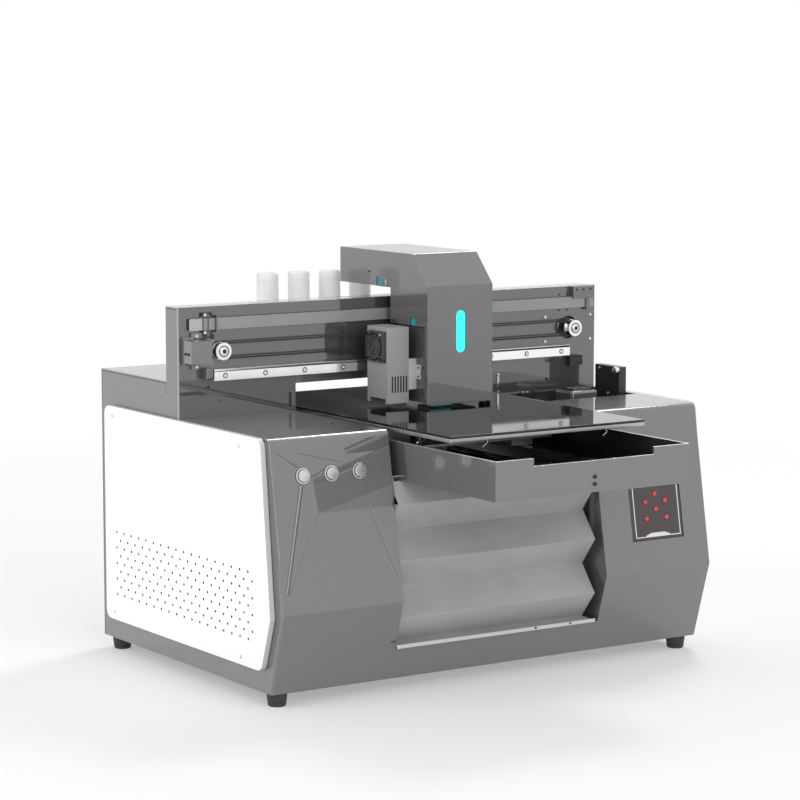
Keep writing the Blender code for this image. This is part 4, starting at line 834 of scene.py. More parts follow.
@dataclass
class Studio:
    """The floor, the soft lights and the camera."""

    camera_place: Point = (-2.07, -3.04817, 0.80766)
    camera_turn: Point = (82.94, 0.0, -33.29)
    lens: float = 126.62
    floor_size: float = 60.0
    floor_colour: Colour = (0.80, 0.80, 0.80)
    fade: tuple[float, float] = (0.6, 2.4)
    lift: float = 0.32
    sky: float = 0.74
    drape_turn: float = math.radians(33.0)
    drape_half_width: float = 0.05
    drape_rise: float = 0.1225
    drape_half_height: float = 0.022
    drape_depth: float = 0.95
    aim: Point = (0.0, 0.0, 0.25)
    lamps: tuple[tuple[str, Point, float, float], ...] = (
        ("left_panel", (-3.0, 0.3, 1.5), 1.6, 29.0),
        ("front_panel", (-0.6, -3.3, 1.5), 1.8, 40.0),
        ("top_panel", (1.63, 1.05, 2.6), 0.8, 34.0))

    def build(self) -> None:
        """Makes the whole setting."""
        self.build_camera()
        self.build_floor()
        self.build_sky()
        self.build_lamps()

    def build_camera(self) -> None:
        """Puts the camera at the viewing place."""
        data = bpy.data.cameras.new("view")
        data.lens = self.lens
        data.sensor_width = SENSOR_WIDTH
        data.clip_end = 200.0
        camera = bpy.data.objects.new("view", data)
        camera.location = self.camera_place
        camera.rotation_euler = Euler([math.radians(turn) for turn in self.camera_turn])
        bpy.context.scene.collection.objects.link(camera)
        bpy.context.scene.camera = camera
        bpy.context.scene.view_settings.view_transform = "Standard"

    def build_floor(self) -> None:
        """Lays a wide pale floor that keeps the printer's shadow."""
        deselect()
        bpy.ops.mesh.primitive_plane_add(size=self.floor_size, location=(0.0, 0.0, 0.0))
        floor = settle("floor")
        graph = Graph("pale_floor")
        graph.set(Base_Color=(*self.floor_colour, 1.0), Roughness=0.9, Specular_IOR_Level=0.0)
        away = graph.add("ShaderNodeVectorMath", operation="LENGTH")
        graph.join(graph.place, away.inputs[0])
        bright = graph.add("ShaderNodeEmission")
        mix = graph.add("ShaderNodeMixShader")
        graph.join(graph.spread(away.outputs["Value"], self.lift, 1.0, *self.fade), mix.inputs["Fac"])
        graph.join(graph.shader.outputs["BSDF"], mix.inputs[1])
        graph.join(bright.outputs["Emission"], mix.inputs[2])
        graph.join(mix.outputs["Shader"], graph.output.inputs["Surface"])
        floor.data.materials.append(graph.material)

    def build_sky(self) -> None:
        """Lights the room evenly, and shows it white to the camera, to gloss and through glass."""
        world = bpy.data.worlds.new("room")
        world.use_nodes = True
        nodes, links = world.node_tree.nodes, world.node_tree.links
        nodes.clear()
        output = nodes.new("ShaderNodeOutputWorld")
        lit, seen = nodes.new("ShaderNodeBackground"), nodes.new("ShaderNodeBackground")
        lit.inputs["Color"].default_value = WHITE
        lit.inputs["Strength"].default_value = self.sky
        seen.inputs["Color"].default_value = WHITE
        path, mix = nodes.new("ShaderNodeLightPath"), nodes.new("ShaderNodeMixShader")
        shown = path.outputs["Is Camera Ray"]
        for ray in ("Is Glossy Ray", "Is Transmission Ray"):
            either = nodes.new("ShaderNodeMath")
            either.operation = "MAXIMUM"
            links.new(shown, either.inputs[0])
            links.new(path.outputs[ray], either.inputs[1])
            shown = either.outputs[0]
        links.new(shown, mix.inputs["Fac"])
        self.hang_drape(world.node_tree, path.outputs["Is Glossy Ray"], seen)
        links.new(lit.outputs["Background"], mix.inputs[1])
        links.new(seen.outputs["Background"], mix.inputs[2])
        links.new(mix.outputs["Shader"], output.inputs["Surface"])
        bpy.context.scene.world = world

    def hang_drape(self, tree: bpy.types.NodeTree, gloss: bpy.types.NodeSocket,
                   seen: bpy.types.Node) -> None:
        """Darkens a small patch of the room, low behind the printer, that its glass mirrors.

        Args:
            tree: the world's nodes.
            gloss: whether a ray comes off a glossy face.
            seen: the white background that the patch is taken from.
        """
        place = tree.nodes.new("ShaderNodeTexCoord").outputs["Generated"]

        def reach(direction: Vector) -> bpy.types.NodeSocket:
            """Gives how far the ray's direction goes along another."""
            node = tree.nodes.new("ShaderNodeVectorMath")
            node.operation = "DOT_PRODUCT"
            tree.links.new(place, node.inputs[0])
            node.inputs[1].default_value = direction
            return node.outputs["Value"]

        def math_node(operation: str, first: bpy.types.NodeSocket,
                      second: bpy.types.NodeSocket | float) -> bpy.types.NodeSocket:
            """Adds a sum of two sockets, or of a socket and a number."""
            node = tree.nodes.new("ShaderNodeMath")
            node.operation = operation
            tree.links.new(first, node.inputs[0])
            if isinstance(second, float):
                node.inputs[1].default_value = second
            else:
                tree.links.new(second, node.inputs[1])
            return node.outputs[0]

        heading = Vector((math.sin(self.drape_turn), math.cos(self.drape_turn), 0.0))
        masks = []
        for direction, middle, half in ((heading.cross(Vector(UP)), 0.0, self.drape_half_width),
                                        (Vector(UP), self.drape_rise, self.drape_half_height)):
            off = math_node("ABSOLUTE", math_node("SUBTRACT", reach(direction), middle), 0.0)
            masks.append(math_node("LESS_THAN", off, half))
        masks.append(math_node("GREATER_THAN", reach(heading), 0.0))
        patch = math_node("MULTIPLY", math_node("MULTIPLY", masks[0], masks[1]), masks[2])
        patch = math_node("MULTIPLY", math_node("MULTIPLY", patch, gloss), -self.drape_depth)
        tree.links.new(math_node("ADD", patch, 1.0), seen.inputs["Strength"])

    def build_lamps(self) -> None:
        """Hangs three soft panels: from the left, from the front and from above."""
        for name, place, size, power in self.lamps:
            data = bpy.data.lights.new(name, "AREA")
            data.shape = "RECTANGLE"
            data.size = data.size_y = size
            data.energy = power
            lamp = bpy.data.objects.new(name, data)
            lamp.location = place
            lamp.rotation_euler = (Vector(self.aim) - Vector(place)).to_track_quat("-Z", "Y").to_euler()
            bpy.context.scene.collection.objects.link(lamp)


@dataclass(frozen=True)
class Slope:
    """The slanted front, as a point on it and its outward normal."""

    point: Vector
    normal: Vector

    @classmethod
    def from_record(cls, frame: dict, knee: tuple[float, float] = (-0.1481, 0.1227)) -> "Slope":
        """Takes the slant from the first button's axis.

        Args:
            knee: the y and z of the front's knee.

        Returns:
            The slope.
        """
        joint = next(joint for joint in frame["record"]["behaviour"]["joints"]
                     if joint["name"] == "button_1_press")
        return cls(Vector((0.0, *knee)), -Vector(joint["axis"]).normalized())

    def at(self, x: float, height: float, proud: float = 0.0) -> Vector:
        """Gives the place on the slope at an x and a height, moved out by proud."""
        rise = height - self.point.z
        y = self.point.y - rise * self.normal.z / self.normal.y
        return Vector((x, y, height)) + self.normal * proud

    def round_piece(self, node: str) -> tuple[Vector, float, float]:
        """Gives the middle, the radius and half the length of a round node that stands on the slope."""
        area = Box.of(node)
        radius = area.size.x / 2.0
        half = (area.size.z - 2.0 * radius * abs(self.normal.y)) / 2.0 / abs(self.normal.z)
        return area.centre, radius, half

    def under(self, place: Vector) -> Vector:
        """Gives the nearest place on the slope."""
        return place - self.normal * self.normal.dot(place - self.point)

    def strip(self, name: str, start: Vector, end: Vector, width: float, height: float,
              crown: float = 0.4) -> bpy.types.Object:
        """Lays a low strip on the slope between two places.

        Args:
            name: the strip's name.
            start: one end's middle.
            end: the other end's middle.
            width: the strip's width at its foot.
            height: how far it stands out.
            crown: the width of its top as a share of its foot.

        Returns:
            The strip.
        """
        along = (end - start).normalized()
        length = (end - start).length
        piece = block(name, (0.0, -width / 2.0, -height * 0.5), (length, width / 2.0, height * 0.5))
        extrude(piece, is_top, (0.0, 0.0, height * 0.5))
        edit_faces(piece, is_top)
        bpy.ops.transform.resize(value=(1.0, crown, 1.0), center_override=(length / 2.0, 0.0, height))
        done()
        across = self.normal.cross(along)
        piece.rotation_euler = matrix_of(along, across, self.normal)
        piece.location = start
        return settle(name)


def matrix_of(along: Vector, across: Vector, out: Vector) -> Euler:
    """Gives the turn that takes x, y and z to three directions."""
    quaternion = along.to_track_quat("X", "Z")
    turned = quaternion @ Vector((0.0, 0.0, 1.0))
    angle = turned.angle(out)
    if turned.cross(out).dot(along) < 0.0:
        angle = -angle
    twist = Vector(along).normalized()
    return (Quaternion(twist, angle) @ quaternion).to_euler()


@dataclass
class Fasteners(Maker):
    """Screws, each head modelled once and copied to its places."""

    heads: dict[Drive, bpy.types.Object] = field(default_factory=dict)

    def head(self, drive: Drive) -> bpy.types.Object:
        """Models a screw head of 1 m radius at the origin, once for each drive.

        Args:
            drive: the recess.

        Returns:
            The head, whose +Z points out.
        """
        if drive in self.heads:
            return self.heads[drive]
        if drive is Drive.SOCKET:
            head = lathe("screw_head", ((1.0, -0.2), (1.0, 0.62), (0.9, 0.75), (0.52, 0.75), (0.46, 0.3)),
                         sides=24)
        else:
            head = lathe("screw_head", ((1.0, -0.2), (1.0, 0.12), (0.86, 0.36), (0.55, 0.5), (0.5, 0.5)),
                         sides=24)
            slots = [block("slot", (-0.62, -0.1, 0.22), (0.62, 0.1, 0.9)),
                     block("slot", (-0.1, -0.62, 0.22), (0.1, 0.62, 0.9))]
            carve(head, [slots[0]])
            carve(head, [slots[1]])
        self.heads[drive] = head
        return head

    def set(self, name: str, places: Iterable[Sequence[float]], normal: Sequence[float], radius: float,
            body: str, look: ScrewLook = ScrewLook.BRIGHT, drive: Drive = Drive.SOCKET) -> None:
        """Puts screws of one size at places on one face, as one piece.

        Args:
            name: the piece's name.
            places: where the heads meet their surface.
            normal: the face's outward normal.
            radius: the head's radius.
            body: the body they move with.
            look: their finish and slot.
            drive: the recess.
        """
        master = self.head(drive)
        sized = copy_at(master, "sized", (0.0, 0.0, 0.0))
        sized.scale = (radius, radius, radius)
        sized = settle("sized")
        copies = [copy_at(sized, name, place, normal) for place in places]
        bpy.data.objects.remove(sized, do_unlink=True)
        self.dress(merge(name, copies), look.value[0], body, look.value[1])

    def put_away(self) -> None:
        """Removes the masters, which aren't pieces."""
        for head in self.heads.values():
            bpy.data.objects.remove(head, do_unlink=True)
        self.heads.clear()


# ----------------------------------------------------------------- the casing


@dataclass
class Casing(Maker):
    """Covers, side walls, perforated side panels, towers, pan and feet."""

    hole_radius: float = 0.0018
    hole_depth: float = 0.005
    rows: int = 9
    row_pitch: float = 0.01059
    row_top: float = 0.168
    columns: int = 18
    column_pitch: float = 0.0205
    column_rear: float = 0.2741
    panel_edge: float = 0.0010
    hole_sides: int = 10
    well_half_width: float = 0.162
    well_front: float = 0.05
    panel_screw: float = 0.0026
    plugs: tuple[Point, ...] = ((-0.1929, -0.0318, 0.337), (-0.1867, -0.0931, 0.337))
    screw_places: tuple[tuple[float, float], ...] = (
        (0.2818, 0.324), (-0.0559, 0.3235), (0.2808, 0.0586), (-0.0569, 0.0574))

    def build(self) -> None:
        """Builds and dresses the casing."""
        self.refined("front_cover", "body_grey_paint", "body", "body_paint", 0.0005)
        self.refined("base_pan", "body_grey_paint", "body", "body_paint", 0.001)
        for side in ("left", "right"):
            for part in ("side_plate", "rear_cover", "channel_wall"):
                piece = self.refined(f"{side}_{part}", "body_grey_paint", "body", "body_paint")
                # the well's side walls take the darkest grey: painted shade in the well
                self.repaint(piece, self.in_shaded_well, "beam_grey_paint")
            self.build_side_panel(side)
        self.build_feet()
        self.screws.set("deck_plugs", self.plugs, UP, 0.0016, "body", ScrewLook.DARK)

    def in_shaded_well(self, centre: Vector, normal: Vector) -> bool:
        """Tells whether a face is a side wall of the well behind the portal."""
        return is_side(centre, normal) and abs(centre.x) < self.well_half_width and centre.y > self.well_front

    def build_side_panel(self, side: str) -> None:
        """Perforates a side panel with staggered rows of blind holes, whose walls are painted near-black as
        painted shade, and screws it on.
        """
        sign = -1.0 if side == "left" else 1.0
        panel = self.refined(f"{side}_side_panel", "side_white_paint", "body", "side_white",
                             self.panel_edge, 4)
        area = Box.of(f"{side}_side_panel")
        face = area.low.x if side == "left" else area.high.x
        # the panel's edges take a darker, faintly warm grey: painted shade, over a slight tint of their own
        self.repaint(panel, lambda centre, normal: abs(normal.x) < 0.5, "side_edge_paint")
        holes = []
        for first, count in ((0, (self.rows + 1) // 2), (1, self.rows // 2)):
            shift = first * self.column_pitch / 2.0
            hole = round_bar("hole", (face, self.column_rear - shift, self.row_top - first * self.row_pitch),
                             self.hole_radius, 2.0 * self.hole_depth, Axis.X, self.hole_sides)
            # the holes' walls take near-black paint: painted shade inside the blind holes
            hole.data.materials.append(self.finishes.get("satin_black_paint"))
            self.repeat(hole, self.columns, (0.0, -self.column_pitch, 0.0))
            self.repeat(hole, count, (0.0, 0.0, -2.0 * self.row_pitch))
            holes.append(hole)
        carve(panel, holes, keep_finish=True)
        smooth(panel)
        self.screws.set(f"{side}_panel_screws", [(face, y, z) for y, z in self.screw_places],
                        (sign, 0.0, 0.0), self.panel_screw, "body", drive=Drive.CROSS)

    @staticmethod
    def repeat(piece: bpy.types.Object, count: int, step: Point) -> None:
        """Repeats a piece along a step, with an array modifier that is then applied."""
        pick(piece)
        modifier = piece.modifiers.new("row", "ARRAY")
        modifier.count = count
        modifier.use_relative_offset = False
        modifier.use_constant_offset = True
        modifier.constant_offset_displace = step
        bpy.ops.object.modifier_apply(modifier=modifier.name)

    def build_feet(self) -> None:
        """Turns four rubber feet with a ribbed foot ring."""
        for name in ("foot_front_left", "foot_front_right", "foot_rear_left", "foot_rear_right"):
            area = Box.of(name)
            radius, height = area.size.x / 2.0, area.size.z
            base = radius * 0.80
            steps = ((base - 0.0012, 0.0), (base, 0.001), (base + 0.0006, 0.0045), (base + 0.0001, 0.005),
                     (base + 0.0007, 0.0055), (radius - 0.0008, height - 0.0016), (radius - 0.0008, height))
            self.turned(f"{name}_turned", steps, (area.centre.x, area.centre.y, area.low.z), UP, 48,
                        "foot_rubber", "body", "black_rubber", (name,))


# ----------------------------------------------------------------- the portal


@dataclass
class Portal(Maker):
    """The portal's plate and cover, its rail, the encoder strip and the small blocks."""

    strip_z: tuple[float, float] = (0.451, 0.4665)
    strip_x: tuple[float, float] = (-0.321, 0.329)
    strip_gap: float = 0.004
    strip_end: float = 0.0215
    strip_thickness: float = 0.0002
    end_bores: tuple[float, ...] = (0.297, 0.309, 0.321)
    rail_first_hole: float = -0.2734
    rail_pitch: float = 0.060

    def build(self) -> None:
        """Builds and dresses the portal."""
        plate = self.refined("portal_plate", "beam_grey_paint", "body", "body_paint", 0.0005)
        # the plate's end faces take a much lighter grey than its front: painted light on the ends
        self.repaint(plate, is_side, "tower_grey_paint")
        self.refined("portal_cover", "tower_grey_paint", "body", "body_paint", 0.0012, 3)
        rail = self.refined("x_rail", "polished_rail_steel", "body", "rail_steel", 0.0004)
        area = Box.of("x_rail")
        # the groove's faces take near-black paint: painted shade in the rail's groove
        groove = block("groove", (area.low.x - 0.001, area.low.y - 0.001, area.high.z - 0.0034),
                       (area.high.x + 0.001, area.low.y + 0.0012, area.high.z - 0.0024))
        groove.data.materials.append(self.finishes.get("satin_black_paint"))
        carve(rail, [groove], keep_finish=True)
        smooth(rail)
        face = Box.of("portal_plate").low.y
        self.build_strip(face)
        self.build_blocks(face)
        self.build_rail_screws()

    def build_strip(self, face: float) -> None:
        """Stretches the clear encoder strip between its clamps."""
        low, high = self.strip_z
        front, thin = face - self.strip_gap, self.strip_thickness
        split = self.strip_x[0] + self.strip_end
        for name, x0, x1, finish in (("encoder_strip", split, self.strip_x[1], "strip_film"),
                                     ("encoder_strip_end", self.strip_x[0], split - thin, "strip_end_film")):
            strip = block(name, (x0, front - thin, low), (x1, front, high))
            outer = x0 if x0 < split else x1
            bevel(strip, lambda middle, way: runs_deep(middle, way) and abs(middle.x - outer) < 0.001,
                  0.002, 3)
            self.dress(strip, finish, "body", "satin_aluminium")
        hook = block("strip_hook", (-0.2892, front - 0.0040, 0.4452), (-0.2816, face - 0.0003, 0.4734))
        carve(hook, [block("gap", (-0.2900, front - 0.0050, 0.4482), (-0.2832, face + 0.001, 0.4704))])
        end = block("strip_clamp_right", (0.3145, front - 0.0030, 0.4475), (0.3205, face - 0.0003, 0.463))
        carve(end, [block("strip_room", (self.strip_x[0] - 0.001, front - 0.0004, low - 0.0002),
                          (self.strip_x[1] + 0.001, front + 0.0002, high + 0.0002))])
        both = merge("strip_clamps", [hook, end])
        soften(both, 0.0004)
        self.dress(both, "beam_grey_paint", "body", "body_paint")
        frame = block("strip_frame", (-0.3016, front - 0.0016, 0.4452), (-0.2930, front - 0.0004, 0.4734))
        carve(frame, [block("window", (-0.3007, front - 0.0030, 0.4508), (-0.2938, face, 0.4680))])
        bevel(frame, lambda middle, way: runs_deep(middle, way) and abs(middle.z - 0.4593) > 0.012, 0.0010, 3)
        self.dress(frame, "head_grey_paint", "body", "body_paint")
        self.screws.set("strip_screws", [(-0.2990, front - 0.0016, z) for z in (0.4708, 0.4480)],
                        FRONT, 0.0019, "body")

    def build_blocks(self, face: float) -> None:
        """Sets the end block, the stop, the bumper and the plate's small screws."""
        seat = face - 0.0003
        top = block("end_block", (0.291, seat - 0.008, 0.4645), (0.327, seat, 0.4808))
        soften(top, 0.0005)
        for x in self.end_bores:
            carve(top, [round_bar("bore", (x, seat - 0.008, 0.4762), 0.0015, 0.008, Axis.Y, 16)])
        self.dress(top, "beam_grey_paint", "body", "body_paint")
        stop = block("rail_stop", (-0.3015, seat - 0.0125, 0.387), (-0.2905, seat, 0.4025))
        extrude(stop, is_front, (0.0, -0.0015, 0.0))
        edit_faces(stop, is_front)
        bpy.ops.transform.resize(value=(0.7, 1.0, 0.7), center_override=(-0.296, seat - 0.014, 0.39475))
        done()
        soften(stop, 0.0004)
        self.dress(stop, "beam_grey_paint", "body", "body_paint")
        bumper = block("travel_bumper", (0.2845, seat - 0.010, 0.370), (0.3065, seat, 0.3836))
        inset(bumper, is_front, 0.002, -0.001)
        soften(bumper, 0.0005)
        self.dress(bumper, "satin_black_paint", "body", "dark_metal")
        self.screws.set("motor_plate_screws",
                        [(x, face, z) for x in (0.2477, 0.326) for z in (0.4397, 0.4054)],
                        FRONT, 0.0021, "body")
        self.screws.set("plate_dots", [(x, face, z) for x in (0.272, 0.286) for z in (0.470, 0.448)],
                        FRONT, 0.0012, "body", ScrewLook.DARK)
        self.bar("plate_slot", (0.1668, face - 0.0006, 0.3425), (0.1694, face + 0.0002, 0.3615), 0.0002,
                 "bright_chrome", "body", "rail_steel")
        self.screws.set("plate_slot_screws", [(0.1681, face, z) for z in (0.3640, 0.3405)], FRONT, 0.0018,
                        "body")
        self.screws.set("plate_plugs", [(-0.2917, face, 0.3768), (0.251, face, 0.353)],
                        FRONT, 0.0016, "body", ScrewLook.DARK)

    def build_rail_screws(self) -> None:
        """Sinks a cap screw in each hole of the rail."""
        rail = Box.of("x_rail")
        count = 1 + int((rail.high.x - 0.005 - self.rail_first_hole) / self.rail_pitch)
        places = [(self.rail_first_hole + number * self.rail_pitch, rail.low.y, rail.centre.z - 0.0012)
                  for number in range(count)]
        # a flat near-black ring round each screw head: painted shade in the counterbore
        rim = ((0.0036, 0.0), (0.0036, 0.0002), (0.0027, 0.0002), (0.0027, 0.0))
        bores = [lathe("bore", rim, place, FRONT, 28, closed=True) for place in places]
        self.dress(merge("x_rail_bores", bores), "satin_black_paint", "body", "dark_metal")
        self.screws.set("x_rail_screws", [(x, y + 0.0012, z) for x, y, z in places], FRONT, 0.0026, "body")


@dataclass
class CrossDrive(Maker):
    """The idler's bracket, the motor, both pulleys and the belt."""

    box_z: tuple[float, float] = (0.4105, 0.4398)
    ear_thickness: float = 0.0032
    socket_radius: float = 0.0028

    def build(self) -> None:
        """Builds and dresses the cross drive."""
        piece = self.refined("idler_bracket", "body_grey_paint", "body", "body_paint")
        bracket = Box.of("idler_bracket")
        ear_face = bracket.high.y - self.ear_thickness
        for low, high in ((self.box_z[1], bracket.high.z + 0.001), (bracket.low.z - 0.001, self.box_z[0])):
            carve(piece, [block("step", (bracket.low.x - 0.001, bracket.low.y - 0.001, low),
                                (bracket.high.x + 0.001, ear_face, high))])
        smooth(piece)
        self.refined("x_motor", "satin_black_paint", "body", "dark_metal", 0.0008)
        self.paint_node("belt_rubber", "x_belt")
        self.screws.set("bracket_ear_screws", [(-0.3105, ear_face, z) for z in (0.4440, 0.4040)],
                        FRONT, 0.0021, "body")
        self.screws.set("bracket_side_screws", [(bracket.low.x, y, 0.4225) for y in (0.1015, 0.0935)],
                        LEFT, 0.0018, "body", ScrewLook.DARK)
        for node, body in (("idler_pulley", "idler"), ("x_motor_pulley", "motor_pulley")):
            self.build_pulley(node, body)

    def build_pulley(self, node: str, body: str) -> None:
        """Refines a flanged pulley, and adds its hub and the dark ring round it: near-black paint as painted
        shade in the groove, and in the hub's socket.
        """
        self.refined(node, "pulley_aluminium", body, "rail_steel", 0.0003)
        area = Box.of(node)
        x, y, z = area.centre.x, area.low.y - 0.0001, area.centre.z
        # a flat near-black ring round the hub: painted shade in the groove
        section = ((0.0074, -0.0004), (0.0074, 0.0001), (0.0060, 0.0001), (0.0060, -0.0004))
        self.turned(f"{node}_groove", section, (x, y, z), FRONT, 40, "satin_black_paint", body, "dark_metal",
                    closed=True)
        outline = ((0.0050, -0.0004), (0.0050, 0.0012), (0.0046, 0.0016), (0.0030, 0.0016), (0.0026, 0.0010),
                   (0.0010, 0.0010))
        hub = self.turned(f"{node}_hub", outline, (x, y, z), FRONT, 40, "pulley_aluminium", body,
                          "rail_steel")
        # the hub's socket faces take near-black paint: painted shade in the bore
        self.repaint(hub, lambda centre, normal: math.hypot(centre.x - x, centre.z - z) < self.socket_radius
                     and normal.y < -0.5, "satin_black_paint")


# --------------------------------------------------------------- the carriage


@dataclass
class Carriage(Maker):
    """The hood with its light, the back plate and the print head."""

    light_width: float = 0.0135
    light_height: float = 0.056
    light_z: float = 0.4405
    screw_places: tuple[tuple[float, float], ...] = ((0.1451, 0.513), (0.0848, 0.4514))
    notches: tuple[tuple[float, float, float, float], ...] = (
        (0.1151, 0.1281, 0.4952, 0.5070), (0.0331, 0.0461, 0.4480, 0.4575))

    def build(self) -> None:
        """Builds and dresses the carriage."""
        cover = self.refined("carriage_cover", "hood_grey_paint", "carriage", "body_paint", 0.0009, 3)
        self.refined("carriage_plate", "satin_aluminium_sheet", "carriage", "satin_aluminium", 0.0005)
        self.refined("print_head", "head_grey_paint", "carriage", "dark_metal", 0.0008)
        hood = Box.of("carriage_cover")
        self.build_notches(cover, hood)
        self.build_light(hood)
        self.build_nozzle_plate()
        for name, x, normal, places in (("hood_side_screws", hood.low.x, LEFT, self.screw_places),
                                        ("hood_right_screws", hood.high.x, RIGHT, self.screw_places[:1])):
            self.screws.set(name, [(x, y, z) for y, z in places], normal, 0.0014, "carriage", ScrewLook.DARK)

    def build_notches(self, cover: bpy.types.Object, hood: Box) -> None:
        """Cuts the two cable notches in the hood's left side, with teal blocks behind them and under the
        hood's front that glow: a painted glow standing in for the light inside the carriage.
        """
        x = hood.low.x
        cuts, glow_blocks = [], []
        for y0, y1, z0, z1 in self.notches:
            cuts.append(block("notch", (x - 0.002, y0, z0), (x + 0.003, y1, z1)))
            # a teal block behind each notch that glows: painted glow
            tube = block("tube", (x + 0.0022, y0 - 0.001, z0 - 0.001), (x + 0.0060, y1 + 0.001, z1 + 0.001))
            soften(tube, 0.0012, 3)
            glow_blocks.append(tube)
        carve(cover, cuts)
        smooth(cover)
        under = block("tube_under", (-0.0165, hood.low.y + 0.0015, hood.low.z - 0.0012),
                      (0.0170, hood.low.y + 0.0060, hood.low.z + 0.0004))
        soften(under, 0.0005)
        glow_blocks.append(under)
        self.bar("hood_side_pin", (x - 0.0006, 0.1037, 0.4975), (x + 0.0002, 0.1051, 0.5050), 0.0002,
                 "screw_steel", "carriage", "rail_steel")
        self.dress(merge("lit_tubes", glow_blocks), "teal_tube", "carriage", "body_paint")

    def build_light(self, hood: Box) -> None:
        """Sets a plain round-ended light cover in the hood's front."""
        x, half, rise = hood.centre.x, self.light_width / 2.0, self.light_height / 2.0
        cover = block("front_light", (x - half, hood.low.y - 0.0006, self.light_z - rise),
                      (x + half, hood.low.y + 0.0004, self.light_z + rise))
        bevel(cover, runs_deep, half * 0.98, 10)
        bevel(cover, lambda middle, way: abs(way.y) < 0.1 and middle.y < hood.low.y - 0.0005, 0.0003, 2)
        self.dress(cover, "cyan_light", "carriage", "body_paint")

    def build_nozzle_plate(self) -> None:
        """Adds the nozzle plate under the print head."""
        head = Box.of("print_head")
        plate = block("nozzle_plate", (head.low.x + 0.008, head.low.y + 0.006, head.low.z - 0.0008),
                      (head.high.x - 0.008, head.high.y - 0.006, head.low.z + 0.0005))
        inset(plate, is_bottom, 0.004, -0.0004)
        self.dress(plate, "satin_black_paint", "carriage", "dark_metal")


